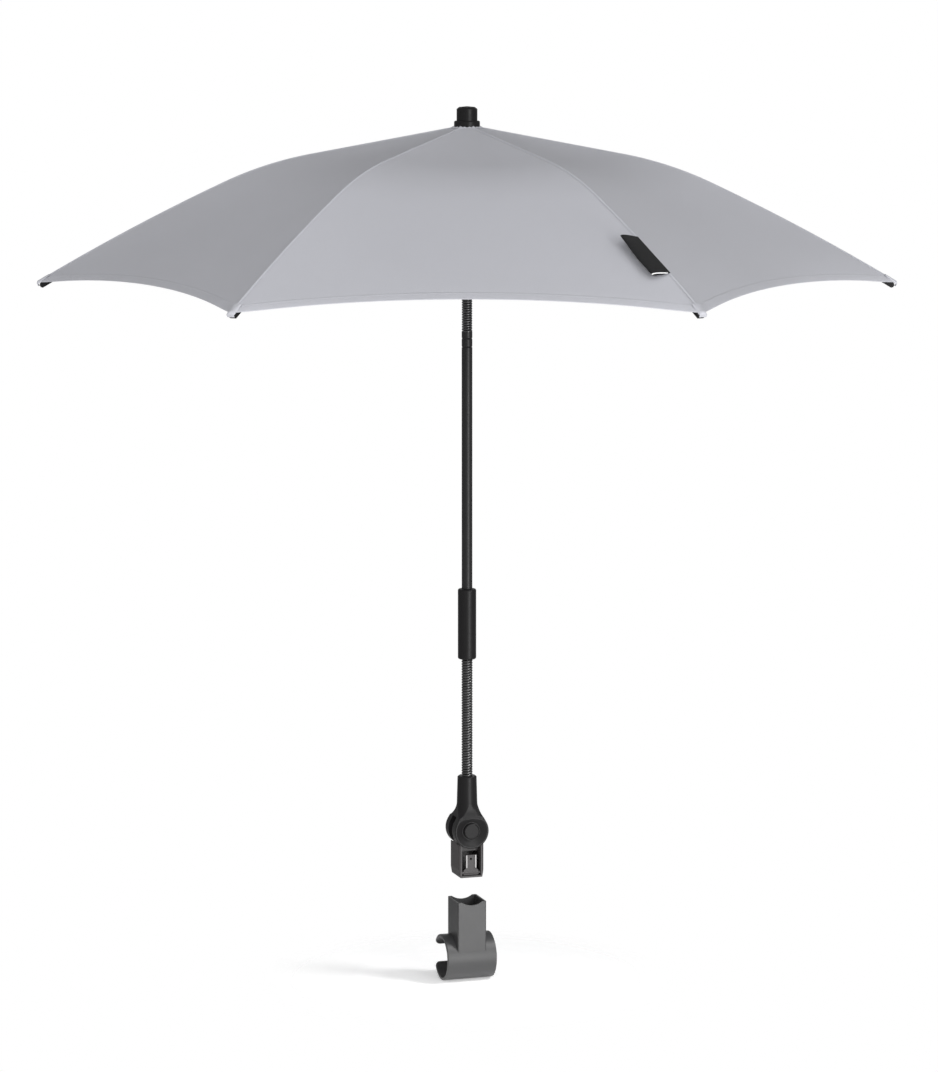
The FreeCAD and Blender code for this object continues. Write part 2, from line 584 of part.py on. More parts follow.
def arc_with_tangent(start, tangent, end):
    """The arc that leaves start along tangent and reaches end."""
    chord = end - start
    across = chord - tangent * chord.dot(tangent)
    across.normalize()
    radius = chord.dot(chord) / (2 * chord.dot(across))
    centre = start + across * radius
    middle = (start + end) * 0.5 - centre
    middle.normalize()
    return Part.Arc(start, centre + middle * radius, end).toShape()


def biarc(start, start_tangent, end, end_tangent):
    """Two arcs that join two points along their tangents."""
    span = end - start
    both = start_tangent + end_tangent
    spread = 2 * (1 - start_tangent.dot(end_tangent))
    reach = (math.sqrt(span.dot(both) ** 2 + spread * span.dot(span)) - span.dot(both)) / spread
    joint = (start + start_tangent * reach + end - end_tangent * reach) * 0.5
    middle_tangent = (end - end_tangent * reach) - (start + start_tangent * reach)
    middle_tangent.normalize()
    return [arc_with_tangent(start, start_tangent, joint), arc_with_tangent(joint, middle_tangent, end)]


def coil_path(radius, wire, turns, bottom, top):
    """A helix of half-turn biarcs whose ends bend upright and run straight for one wire."""
    bend = END_BEND * wire
    low = bottom + wire + bend
    pitch = (top - bottom - 2 * (wire + bend)) / turns
    inner = math.sqrt(radius ** 2 - bend ** 2)
    steps = round(2 * turns)
    stations = []
    for step in range(steps + 1):
        angle = math.pi * step
        reach = inner if step in (0, steps) else radius
        flat = Vector(-math.sin(angle), math.cos(angle), 0)
        point = Vector(reach * math.cos(angle), reach * math.sin(angle), low + pitch * step / 2)
        tangent = flat * (2 * math.pi * radius) + UP * pitch
        tangent.normalize()
        if step in (0, steps):
            tangent = flat
        stations.append((point, tangent))
    first, first_tangent = stations[0]
    last, last_tangent = stations[-1]
    foot = first - first_tangent * bend - UP * bend
    head = last + last_tangent * bend + UP * bend
    edges = [Part.LineSegment(foot - UP * wire, foot).toShape(), arc_with_tangent(foot, UP, first)]
    for (start, start_tangent), (end, end_tangent) in zip(stations, stations[1:]):
        edges += biarc(start, start_tangent, end, end_tangent)
    edges += [arc_with_tangent(last, last_tangent, head), Part.LineSegment(head, head + UP * wire).toShape()]
    return Part.Wire(edges), pitch


def least_self_gap(path, wire, radius):
    """Smallest clear distance between stretches of the tube over half a turn apart."""
    step = wire / 4
    points = path.discretize(Distance=step)
    apart = round(math.pi * radius / step)
    near = round(4 * math.pi * radius / step)
    least = min(points[index].distanceToPoint(points[other])
                for index in range(0, len(points), 4)
                for other in range(index + apart, min(index + near, len(points))))
    return least - wire


def coil_shape(name, radius, wire, turns, bottom, top):
    path, pitch = coil_path(radius, wire, turns, bottom, top)
    print(f"{name}: pitch {pitch:.2f}, least gap to itself {least_self_gap(path, wire, radius):.2f}")
    start = path.OrderedVertexes[0].Point
    section = Part.Wire(Part.Circle(start, UP, wire / 2).toShape())
    return path.makePipeShell([section], True, False)


def make_goosenecks():
    gap = size("sliding_gap")
    lower_wire = size("lower_neck_wire")
    lower = coil_shape("lower_gooseneck", size("lower_neck_radius") - lower_wire / 2, lower_wire,
                       size("lower_neck_turns"), place("fork_top"), place("sleeve_bottom") - gap)
    keep_shape("lower_gooseneck", lower)
    upper_wire = size("upper_neck_wire")
    upper = coil_shape("upper_gooseneck", size("shaft_radius") - upper_wire / 2, upper_wire,
                       size("upper_neck_turns"), place("shaft_top"), place("mast_bottom") - gap)
    keep_shape("upper_gooseneck", upper)
    cores = (("lower_core", "Places.fork_top", "Places.sleeve_bottom"),
             ("upper_core", "Places.shaft_top", "Places.mast_bottom"))
    for name, bottom, top in cores:
        body = new_body(name)
        sketch = sketch_on(body, "XY_Plane", f"{bottom} - Sizes.core_socket")
        draw_circle(sketch, f"Places.{name}_radius")
        pad(body, sketch, f"{top} - Sizes.sliding_gap - {bottom} + Sizes.core_socket", symmetric=False)
        keep(name, body)


def make_button_spring():
    """The spring lies along the knuckle axis, from the well's floor to the button's back."""
    length = place("button_back") - place("well_floor")
    coil = coil_shape("button_spring", size("button_spring_radius"), size("button_spring_wire"),
                      size("button_spring_turns"), 0, length - size("sliding_gap"))
    keep_shape("button_spring", coil)
    foot = Vector(0, -size("stem_offset") - place("well_floor"), place("knuckle"))
    parts["button_spring"].Placement = Placement(foot, Rotation(Vector(1, 0, 0), 90))


# Shaft and mast


def make_sleeve():
    body = new_body("sleeve")
    radius = "Sizes.sleeve_radius"
    edge = "Sizes.sleeve_round"
    socket = "Places.sleeve_top - Sizes.sleeve_socket"
    revolve(body, [("0", "Places.sleeve_bottom"), (radius, "Places.sleeve_bottom"),
                   (radius, "Places.sleeve_top"), ("Sizes.shaft_radius", "Places.sleeve_top"),
                   ("Sizes.shaft_radius", socket), ("0", socket)])
    rim = size("sleeve_radius")
    round_edges(body, edge, lambda found: abs(found.BoundBox.XMax - rim) < TOUCH
                and found.BoundBox.ZLength < TOUCH)
    keep("sleeve", body)


def make_shaft_tube():
    body = new_body("shaft_tube")
    outer = "Sizes.shaft_radius"
    waist = "Sizes.shaft_radius - Sizes.crimp_depth"
    foot = "Places.sleeve_top - Sizes.sleeve_socket"
    inner = "Sizes.shaft_radius - Sizes.shaft_wall"
    plug_foot = "Places.shaft_top - Sizes.core_socket"
    corners = [(inner, foot), (outer, foot)]
    for crimp in ("Sizes.crimp_second", "Sizes.crimp_first"):
        middle = f"Places.shaft_top - {crimp}"
        corners += [(outer, f"{middle} - Sizes.crimp_width / 2"), (waist, middle),
                    (outer, f"{middle} + Sizes.crimp_width / 2")]
    corners += [(outer, "Places.shaft_top"), ("Places.upper_core_radius", "Places.shaft_top"),
                ("Places.upper_core_radius", plug_foot), (inner, plug_foot)]
    revolve(body, corners)
    keep("shaft_tube", body)


def make_mast():
    body = new_body("mast")
    outer = "Sizes.shaft_radius"
    inner = "Sizes.shaft_radius - Sizes.shaft_wall"
    floor = "Places.mast_bottom + 2 * Sizes.shaft_wall"
    top = "Places.hinge + Sizes.mast_end"
    revolve(body, [("0", "Places.mast_bottom"), (outer, "Places.mast_bottom"), (outer, top), (inner, top),
                   (inner, floor), ("0", floor)])
    slot = sketch_on(body, "XZ_Plane", outer)
    half = "Sizes.catch_width / 2 + Sizes.sliding_gap"
    catch_top = "Places.runner_bottom - Sizes.sliding_gap"
    draw_rectangle(slot, f"-({half})", half, f"{catch_top} - Sizes.catch_length - Sizes.sliding_gap",
                   f"{catch_top} + Sizes.sliding_gap")
    pocket(body, slot, outer)
    keep("mast", body)


def make_runner_catch():
    """A bent spring: its nose stands out of the mast under the runner, its leg lies inside."""
    body = new_body("runner_catch")
    top = "(Places.runner_bottom - Sizes.sliding_gap)"
    foot = f"({top} - Sizes.catch_length)"
    wall = "(Sizes.shaft_radius - Sizes.shaft_wall - Sizes.sliding_gap)"
    back = f"({wall} - Sizes.catch_thickness)"
    nose = "(Sizes.shaft_radius + Sizes.catch_nose)"
    sketch = sketch_on(body, "YZ_Plane")
    draw_outline(sketch, [(f"-{back}", top), (f"-{nose}", top),
                          (f"-{nose}", f"{top} - 2 * Sizes.catch_thickness"),
                          (f"-{wall}", foot), (f"-{wall}", f"{foot} - Sizes.catch_leg"),
                          (f"-{back}", f"{foot} - Sizes.catch_leg")])
    pad(body, sketch, "Sizes.catch_width")
    keep("runner_catch", body)


# Crown, runner and tip cap


def cut_slots(body, low):
    """Cut a slot for every rib or stretcher, from a height upwards and out of the rim."""
    sketch = sketch_on(body, "XY_Plane", low)
    half = "Places.slot_width / 2"
    draw_rectangle(sketch, "Sizes.slot_floor", "2 * Sizes.crown_radius", f"-{half}", half)
    cut = pocket(body, sketch, "4 * Sizes.crown_radius", reverse=True)
    spread_round(body, cut)


def cut_pin_seats(body, height):
    """Cut the holes that hold the hinge pins, across the slots."""
    sketch = sketch_on(body, "XZ_Plane")
    draw_circle(sketch, "Sizes.hinge_pin_radius", "Sizes.hinge_radius", height)
    feature = body.newObject("PartDesign::Pocket", body.Name + "_pin_seat")
    feature.Profile = sketch
    feature.SideType = "Symmetric"
    feature.setExpression("Length", "Places.slot_width + 2 * Sizes.hinge_pin_seat")
    spread_round(body, feature)


def make_crown():
    body = new_body("crown")
    fall = "tan(Sizes.arm_slope)"
    steep = f"{fall} / cos(180 / Sizes.rib_count)"
    apex = (f"Places.hinge + Places.fabric_low / cos(Sizes.arm_slope) + Sizes.hinge_radius * {fall}"
            " - Sizes.sliding_gap")
    foot = "Places.hinge - Sizes.crown_depth"
    revolve(body, [("Sizes.shaft_radius", foot), ("Sizes.crown_radius", foot),
                   ("Sizes.crown_radius", f"{apex} - Sizes.crown_radius * {steep}"),
                   ("Sizes.shaft_radius", f"{apex} - Sizes.shaft_radius * {steep}")])
    cut_pin_seats(body, "Places.hinge")
    cut_slots(body, f"{foot} - Sizes.crown_depth")
    keep("crown", body, size("canopy_turn"))


def make_runner():
    body = new_body("runner")
    neck = "Sizes.runner_neck_radius"
    collar = "Sizes.runner_collar_radius"
    edge = "Sizes.runner_chamfer"
    flange_foot = "(Places.runner_top - Sizes.runner_flange)"
    collar_top = "(Places.runner_bottom + Sizes.runner_collar)"
    revolve(body, [("Places.bore", "Places.runner_bottom"), (f"{collar} - {edge}", "Places.runner_bottom"),
                   (collar, f"Places.runner_bottom + {edge}"), (collar, f"{collar_top} - {edge}"),
                   (f"{collar} - {edge}", collar_top), (neck, f"{collar_top} + {collar} - {neck}"),
                   (neck, f"{flange_foot} - Sizes.crown_radius + {neck} + {edge}"),
                   ("Sizes.crown_radius", f"{flange_foot} + {edge}"),
                   ("Sizes.crown_radius", "Places.runner_top"), ("Places.bore", "Places.runner_top")])
    cut_pin_seats(body, "Places.runner_hinge")
    cut_slots(body, "Places.runner_hinge - Sizes.strut_height / 2 - Sizes.sliding_gap")
    keep("runner", body, size("canopy_turn"))


def make_hinge_pins(name, height):
    """One pin across each slot, all in one piece of separate solids."""
    length = place("slot_width") + 2 * size("hinge_pin_seat")
    pins = []
    for angle in rib_angles():
        pin = doc.addObject("Part::Cylinder", name + "_pin")
        pin.setExpression("Radius", "Sizes.hinge_pin_radius")
        pin.setExpression("Height", "Places.slot_width + 2 * Sizes.hinge_pin_seat")
        turn = Rotation(UP, angle)
        start = turn.multVec(Vector(size("hinge_radius"), length / 2, height))
        pin.Placement = Placement(start, turn * Rotation(Vector(1, 0, 0), 90))
        pins.append(pin)
    group = doc.addObject("Part::Compound", name)
    group.Links = pins
    keep(name, group)


def make_tip_cap():
    body = new_body("tip_cap")
    fall = "tan(Sizes.arm_slope)"
    apex = (f"Places.hinge + Places.fabric_high / cos(Sizes.arm_slope) + Sizes.hinge_radius * {fall}"
            " + Sizes.sliding_gap")
    under = f"({apex} - Sizes.cap_collar_radius * {fall})"
    collar_top = f"({under} + Sizes.cap_collar)"
    shoulder = f"({collar_top} + Sizes.cap_height)"
    edge = "Sizes.cap_edge"
    mast_top = "Places.hinge + Sizes.mast_end"
    revolve(body, [("Sizes.shaft_radius", f"{apex} - Sizes.shaft_radius * {fall}"),
                   ("Sizes.cap_collar_radius", under),
                   ("Sizes.cap_collar_radius", f"{collar_top} - {edge}"),
                   (f"Sizes.cap_collar_radius - {edge}", collar_top), ("Sizes.cap_radius", collar_top),
                   ("Sizes.cap_radius", shoulder),
                   ("Sizes.cap_crown_radius", f"{shoulder} + Sizes.cap_crown_rise"),
                   ("0", f"{shoulder} + Sizes.cap_dome"), ("0", mast_top), ("Sizes.shaft_radius", mast_top)])
    keep("tip_cap", body)


# Ribs and stretchers, each drawn in the upright plane through the stem axis


def rib_angles():
    count = round(size("rib_count"))
    return [size("canopy_turn") + 360 * index / count for index in range(count)]


def rib_line(offset):
    """Points of a rib's line moved up by offset: start, end of arm, bend middle and end, outer ditto."""
    slopes = [size("arm_slope")]
    slopes.append(slopes[0] + size("bend_turn"))
    slopes.append(slopes[1] + size("outer_turn"))
    slopes = [math.radians(slope) for slope in slopes]

    def rise(slope):
        return Vector(math.sin(slope), 0, math.cos(slope))

    along = Vector(math.cos(slopes[0]), 0, -math.sin(slopes[0]))
    start = Vector(size("hinge_radius"), 0, 0)
    arm_end = start + along * size("arm_length")
    points = [start + rise(slopes[0]) * offset, arm_end + rise(slopes[0]) * offset]
    end = arm_end
    lengths = (size("bend_length"), size("outer_length"))
    for first, last, length in zip(slopes, slopes[1:], lengths):
        radius = length / (last - first)
        centre = end - rise(first) * radius
        points.append(centre + rise((first + last) / 2) * (radius + offset))
        points.append(centre + rise(last) * (radius + offset))
        end = centre + rise(last) * radius
    return points


def line_edges(points):
    """The straight arm and the two arcs through a rib line's points."""
    start, arm_end, bend_middle, bend_end, outer_middle, outer_end = points
    return [Part.LineSegment(start, arm_end).toShape(), Part.Arc(arm_end, bend_middle, bend_end).toShape(),
            Part.Arc(bend_end, outer_middle, outer_end).toShape()]


def thick_across(face, width):
    """A flat face in the upright plane given a width, half to each side."""
    shifted = face.copy()
    shifted.translate(SIDEWAYS * (-width / 2))
    return shifted.extrude(SIDEWAYS * width)


def cross_pin(centre, radius, length):
    return Part.makeCylinder(radius, length, centre - SIDEWAYS * (length / 2), SIDEWAYS)


def rounded_bar(start, end, height):
    """Flat outline of a bar with round ends about start and end."""
    along = end - start
    along.normalize()
    side = along.cross(SIDEWAYS) * (height / 2)
    cap = along * (height / 2)
    edges = [Part.LineSegment(start + side, end + side).toShape(),
             Part.Arc(end + side, end + cap, end - side).toShape(),
             Part.LineSegment(end - side, start - side).toShape(),
             Part.Arc(start - side, start - cap, start + side).toShape()]
    return Part.Face(Part.Wire(edges))


def strut_joint():
    slope = math.radians(size("arm_slope"))
    reach = place("strut_arm")
    return Vector(size("hinge_radius") + reach * math.cos(slope), 0, -reach * math.sin(slope))


def rib_blank():
    half = size("rib_height") / 2
    upper = rib_line(half)
    lower = rib_line(-half)
    hinge = Vector(size("hinge_radius"), 0, 0)
    inward = hinge - strut_joint()
    inward.normalize()
    edges = line_edges(upper) + line_edges(lower)
    edges.append(Part.LineSegment(upper[-1], lower[-1]).toShape())
    edges.append(Part.Arc(lower[0], hinge + inward * half, upper[0]).toShape())
    return thick_across(Part.Face(Part.Wire(Part.__sortEdges__(edges))), size("rib_width"))


def rib_shape():
    radius = size("hinge_pin_radius") + size("running_gap")
    hinge = Vector(size("hinge_radius"), 0, 0)
    rib = rib_blank()
    for centre in (hinge, strut_joint()):
        rib = rib.cut(cross_pin(centre, radius, 2 * size("rib_width")))
    return rib.Solids[0]


def rib_tip_shape():
    """End cap: open along its top, where the fabric lies on the rib."""
    end = rib_line(0)[-1]
    slope = math.radians(size("arm_slope") + size("bend_turn") + size("outer_turn"))
    along = Vector(math.cos(slope), 0, -math.sin(slope))
    rise = Vector(math.sin(slope), 0, math.cos(slope))
    clear = size("fabric_gap")
    top = size("rib_height") / 2 - clear
    low = -size("rib_height") / 2 - size("tip_drop")
    hold = size("tip_hold")
    nose = size("tip_nose")
    chamfer = size("tip_chamfer")
    outline = [(-hold, top), (nose - chamfer, top), (nose, top - chamfer), (nose, low + chamfer),
               (nose - chamfer, low), (-hold + 2 * chamfer, low), (-hold, low + 2 * chamfer)]
    points = [end + along * reach + rise * lift for reach, lift in outline]
    face = Part.Face(Part.makePolygon(points + points[:1]))
    cap = thick_across(face, size("tip_width"))
    return cap.cut(rib_blank()).Solids[0]


def runner_joint():
    return Vector(size("hinge_radius"), 0, place("runner_hinge") - place("hinge"))


def stretcher_shape():
    """A bar from the runner's pin, ending in a fork that straddles the rib."""
    joint = strut_joint()
    foot = runner_joint()
    along = joint - foot
    along.normalize()
    height = size("strut_height")
    fork_start = joint - along * size("strut_fork")
    block_start = fork_start - along * size("strut_block")
    inner = size("rib_width") / 2 + size("sliding_gap")
    cheek = size("strut_cheek")
    bar = thick_across(rounded_bar(foot, fork_start, height), size("rib_width"))
    block = thick_across(rounded_bar(block_start, fork_start, height), 2 * (inner + cheek))
    strut = bar.fuse(block)
    for side in (1, -1):
        outline = rounded_bar(block_start, joint, height)
        outline.translate(SIDEWAYS * (side * (inner + cheek / 2)))
        strut = strut.fuse(thick_across(outline, cheek))
    strut = strut.removeSplitter()
    pin = size("hinge_pin_radius")
    strut = strut.cut(cross_pin(joint, pin, 8 * inner))
    strut = strut.cut(cross_pin(foot, pin + size("running_gap"), 8 * inner))
    return strut.Solids[0]


def rivet_shape():
    joint = strut_joint()
    half = size("rib_width") / 2 + size("sliding_gap") + size("strut_cheek")
    head = size("rivet_head")
    rivet = cross_pin(joint, size("hinge_pin_radius"), 2 * half)
    for side in (1, -1):
        centre = joint + SIDEWAYS * (side * (half + head / 2))
        rivet = rivet.fuse(cross_pin(centre, size("rivet_head_radius"), head))
    return rivet.removeSplitter().Solids[0]


# Canopy fabric


def gore_half():
    """Half a panel beside a rib: level across, so its profile is the rib's line drawn in sideways."""
    half_angle = math.pi / size("rib_count")

    def drawn_in(points):
        return [Vector(point.x * math.cos(half_angle), 0, point.z) for point in points]

    low = drawn_in(rib_line(place("fabric_low")))
    high = drawn_in(rib_line(place("fabric_high")))
    inner = (high[0] - high[1]) * (size("hinge_radius") / size("arm_length"))
    low[0] = low[0] + inner
    high[0] = high[0] + inner
    edges = line_edges(low) + line_edges(high)
    edges += [Part.LineSegment(low[0], high[0]).toShape(), Part.LineSegment(low[-1], high[-1]).toShape()]
    profile = Part.Face(Part.Wire(Part.__sortEdges__(edges)))
    reach = 2 * high[-1].x
    side = math.tan(half_angle) * reach
    split = size("fabric_split") / 2
    sheet = profile.extrude(SIDEWAYS * -side)
    corners = [Vector(split / math.tan(half_angle), -split, -reach), Vector(reach, -side, -reach),
               Vector(reach, -split, -reach)]
    wedge = Part.Face(Part.makePolygon(corners + corners[:1])).extrude(UP * (2 * reach))
    half = sheet.common(wedge)

    corner = rib_line(0)[-1].x - size("hem_margin")
    chord = 2 * corner * math.sin(half_angle)
    scallop = size("hem_scallop")
    hem_radius = (chord ** 2 / 4 + scallop ** 2) / (2 * scallop)
    hem_centre = corner * math.cos(half_angle) - scallop + hem_radius
    hem = Part.makeCylinder(hem_radius, 2 * reach, Vector(hem_centre, 0, -reach), UP)
    eye = Part.makeCylinder(size("shaft_radius") + 2 * size("sliding_gap"), 2 * reach,
                            Vector(0, 0, -reach), UP)
    half = half.cut(hem).cut(eye)
    half.rotate(ORIGIN, UP, math.degrees(half_angle))
    return half


def gore_shape():
    half = gore_half()
    return half.fuse(half.mirror(ORIGIN, SIDEWAYS)).removeSplitter().Solids[0]


def tab_shape():
    """Plain folded tab, sewn in along the first rib's seam and lifted off the panel beside it."""
    half_angle = math.pi / size("rib_count")
    first = math.radians(size("arm_slope") + size("bend_turn"))
    bend = math.radians(size("outer_turn")) / size("outer_length")
    middle = size("outer_length") - size("tab_margin") - size("tab_length") / 2
    slope = first + bend * middle
    radius = 1 / bend
    bend_end = rib_line(0)[3]
    centre = bend_end - Vector(math.sin(first), 0, math.cos(first)) * radius
    rise = Vector(math.sin(slope), 0, math.cos(slope))
    along = Vector(math.cos(slope), 0, -math.sin(slope))
    level = Vector(-math.sin(half_angle), -math.cos(half_angle), 0)
    out = level - along * level.dot(along)
    out.normalize()
    normal = out.cross(along)
    lift = math.radians(size("tab_lift"))
    reach = out * math.cos(lift) + normal * math.sin(lift)
    seam = centre + rise * (radius + place("fabric_high") + size("sliding_gap"))
    start = seam - along * (size("tab_length") / 2) + reach * size("tab_thickness")
    corners = [start, start + along * size("tab_length")]
    corners += [corners[1] + reach * size("tab_width"), corners[0] + reach * size("tab_width")]
    face = Part.Face(Part.makePolygon(corners + corners[:1]))
    return face.extrude(reach.cross(along) * size("tab_thickness"))


def make_canopy():
    hinge = place("hinge")
    shapes = (("rib", rib_shape()), ("rib_tip", rib_tip_shape()), ("stretcher", stretcher_shape()),
              ("stretcher_rivet", rivet_shape()), ("canopy_gore", gore_shape()))
    for index, angle in enumerate(rib_angles(), start=1):
        for name, shape in shapes:
            keep_shape(f"{name}_{index}", shape.copy(), angle, hinge)
    keep_shape("label_tab", tab_shape(), size("canopy_turn"), hinge)


def check_and_write():
    """Refuse a failed feature or a bad shape, then write every piece."""
    doc.recompute()
    for item in doc.Objects:
        if "Invalid" in item.State or "Error" in item.State:
            raise ValueError(f"{item.Label} failed: {item.State}")
    for label, piece in parts.items():
        if piece.Shape.isNull() or not piece.Shape.isValid() or not piece.Shape.Solids:
            raise ValueError(f"{label} has no valid solid")
    os.makedirs("parts", exist_ok=True)
    for label, piece in parts.items():
        piece.Shape.exportStep(f"parts/{label}.step")


make_clip()
make_plug()
make_latch_tongue()
make_fork()
make_knuckle_pieces()
make_button_spring()
make_goosenecks()
make_sleeve()
make_shaft_tube()
make_mast()
make_crown()
make_hinge_pins("crown_pins", place("hinge"))
make_runner()
make_hinge_pins("runner_pins", place("runner_hinge"))
make_runner_catch()
make_tip_cap()
make_canopy()
check_and_write()
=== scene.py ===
"""Looks of a clip-on pram parasol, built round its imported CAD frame.

The file is laid out as an add-on with one operator for each group of pieces, and is run as a script.
Lengths are in metres, in the frame's axes: +X along the tube clip's bore, +Z up, the front towards -Y.
"""
import json
import math

import bmesh
import bpy
from bpy.props import FloatProperty, FloatVectorProperty, IntProperty, PointerProperty
from mathutils import Matrix, Vector


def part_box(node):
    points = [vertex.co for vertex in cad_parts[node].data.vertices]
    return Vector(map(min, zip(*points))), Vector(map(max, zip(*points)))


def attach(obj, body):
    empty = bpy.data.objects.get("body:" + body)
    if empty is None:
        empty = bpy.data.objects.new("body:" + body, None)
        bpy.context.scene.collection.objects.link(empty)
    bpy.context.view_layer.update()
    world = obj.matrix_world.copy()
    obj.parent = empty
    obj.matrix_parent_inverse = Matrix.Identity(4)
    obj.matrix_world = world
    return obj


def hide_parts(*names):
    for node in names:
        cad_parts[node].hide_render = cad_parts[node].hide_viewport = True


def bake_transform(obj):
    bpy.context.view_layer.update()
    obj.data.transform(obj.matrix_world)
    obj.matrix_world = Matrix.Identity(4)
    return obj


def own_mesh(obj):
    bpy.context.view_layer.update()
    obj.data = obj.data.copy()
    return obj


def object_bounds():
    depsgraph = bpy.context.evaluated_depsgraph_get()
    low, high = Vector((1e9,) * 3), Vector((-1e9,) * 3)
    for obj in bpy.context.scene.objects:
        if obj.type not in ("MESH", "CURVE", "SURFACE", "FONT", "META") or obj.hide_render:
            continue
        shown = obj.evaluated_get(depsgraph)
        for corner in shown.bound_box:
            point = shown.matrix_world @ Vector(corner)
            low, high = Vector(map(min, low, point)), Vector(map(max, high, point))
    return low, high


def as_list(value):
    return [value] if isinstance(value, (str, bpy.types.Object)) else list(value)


bl_info = {
    "name": "Pram Parasol",
    "version": (1, 0, 0),
    "blender": (4, 5, 0),
    "location": "View3D > Sidebar > Parasol",
    "description": "Dresses the frame of a clip-on pram parasol",
    "category": "Object",
}

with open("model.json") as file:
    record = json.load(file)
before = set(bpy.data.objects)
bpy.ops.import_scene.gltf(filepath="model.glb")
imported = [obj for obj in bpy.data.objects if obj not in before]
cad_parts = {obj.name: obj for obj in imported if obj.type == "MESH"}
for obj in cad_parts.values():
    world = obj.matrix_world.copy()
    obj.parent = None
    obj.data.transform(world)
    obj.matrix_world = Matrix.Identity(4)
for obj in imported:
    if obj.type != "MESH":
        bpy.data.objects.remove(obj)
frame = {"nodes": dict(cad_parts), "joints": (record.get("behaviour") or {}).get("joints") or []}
CAD_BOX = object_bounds()
NODES = frame["nodes"]
JOINTS = {joint["name"]: joint for joint in frame["joints"]}

RIB_COUNT = 6
SIDES = ((1, "left"), (-1, "right"))
HALF_ANGLE = math.pi / RIB_COUNT
UP = Vector((0, 0, 1))
HINGE = Vector(JOINTS["canopy_fold"]["pos_m"])
STEM = Vector((0, JOINTS["lower_bend"]["pos_m"][1], 0))
HINGE_RADIUS = (HINGE - STEM).xy.length

# The photograph's size in pixels, and the stem's column in it
IMAGE_WIDTH = 938
IMAGE_HEIGHT = 1072
STEM_COLUMN = 467.0


# Settings


def length_setting(name, description, metres):
    """A length that a user may change."""
    return FloatProperty(name=name, description=description, default=metres, unit="LENGTH")


def angle_setting(name, description, degrees):
    """An angle that a user may change."""
    return FloatProperty(name=name, description=description, default=math.radians(degrees), subtype="ANGLE")


def number_setting(name, description, number):
    """A share, power or brightness that a user may change."""
    return FloatProperty(name=name, description=description, default=number)


def count_setting(name, description, count):
    """A count that a user may change."""
    return IntProperty(name=name, description=description, default=count)


def colour_setting(name, description, colour):
    """A colour that a user may change."""
    return FloatVectorProperty(name=name, description=description, default=colour, size=3, subtype="COLOR")


class CanopySizes(bpy.types.PropertyGroup):
    """Sizes of the fabric canopy"""

    arm_length: length_setting("Arm", "Straight inner part of a rib", 0.130)
    arm_slope: angle_setting("Arm slope", "Fall of the straight part", 10.6)
    bend_length: length_setting("Bend", "Bend of a rib, along it", 0.080)
    bend_turn: angle_setting("Bend turn", "Bend of a rib", 14.5)
    outer_length: length_setting("Outer part", "Outer part of a rib, along it", 0.183)
    outer_turn: angle_setting("Outer turn", "Gentle bend of the outer part", 5.5)
    fabric_lift: length_setting("Fabric lift", "Middle of the fabric above a rib's middle", 0.0025)
    fabric_thickness: length_setting("Fabric", "Thickness of the fabric", 0.0005)
    eye_radius: length_setting("Eye", "Fabric's inner edge round the mast", 0.0062)
    hem_reach: length_setting("Hem reach", "Hem's corner past the rib's end", 0.0032)
    hem_scallop: length_setting("Scallop", "Hem drawn in at a panel's middle", 0.0145)
    hem_width: length_setting("Hem", "Width of the turned hem", 0.0085)
    hem_step: length_setting("Hem step", "Hem's top above the single fabric", 0.0002)
    hem_roll: length_setting("Hem roll", "Hem's edge drawn down", 0.0002)
    hem_pucker: length_setting("Hem pucker", "Hem's edge drawn down near the corners", 0.0006)
    hem_roll_reach: length_setting("Roll reach", "Width over which the hem is drawn down", 0.009)
    panel_sag: length_setting("Sag", "Panel drawn in between two ribs", 0.004)
    rows: count_setting("Rows", "Rows of faces from the mast to the hem", 72)
    columns: count_setting("Columns", "Columns of faces across a gore's wing", 24)
    band_columns: count_setting("Band columns", "Columns of faces across the band over a rib", 8)
    band_width: length_setting("Band", "Middle band of a gore, which stays flat over its rib", 0.018)
    turn_start: length_setting("Turn start", "Where the cloth starts to turn with a rib", 0.012)
    turn_end: length_setting("Turn end", "Where the cloth follows the rib", 0.024)
    seam_width: length_setting("Seam", "Width of the felled seam over a rib", 0.0028)
    seam_height: length_setting("Seam height", "Seam's top above the fabric", 0.0006)
    stitch_length: length_setting("Stitch", "Length of one stitch", 0.0026)
    stitch_pitch: length_setting("Stitch pitch", "From one stitch to the next", 0.0034)
    stitch_width: length_setting("Thread", "Thickness of the thread", 0.0003)
    pocket_length: length_setting("Corner pocket", "Pocket over a rib's end cap, before its curl", 0.0106)
    pocket_reach: length_setting("Pocket reach", "Where the pocket curls down, past the rib's end", 0.0026)
    pocket_width: length_setting("Pocket width", "Pocket across", 0.0086)
    pocket_curl: length_setting("Pocket curl", "Bend of the pocket over the end cap", 0.0022)
    pocket_fall: length_setting("Pocket fall", "Pocket below its curl", 0.0022)
    gather_radius: length_setting("Gather", "Gathered fabric round the tip cap's foot", 0.0145)
    gather_height: length_setting("Gather height", "Height of the gathered folds", 0.0013)
    gather_folds: count_setting("Folds", "Folds of the gathered fabric", 18)
    folded_share: number_setting("Folded share", "Width of a gore's wing when folded, as a share", 0.14)


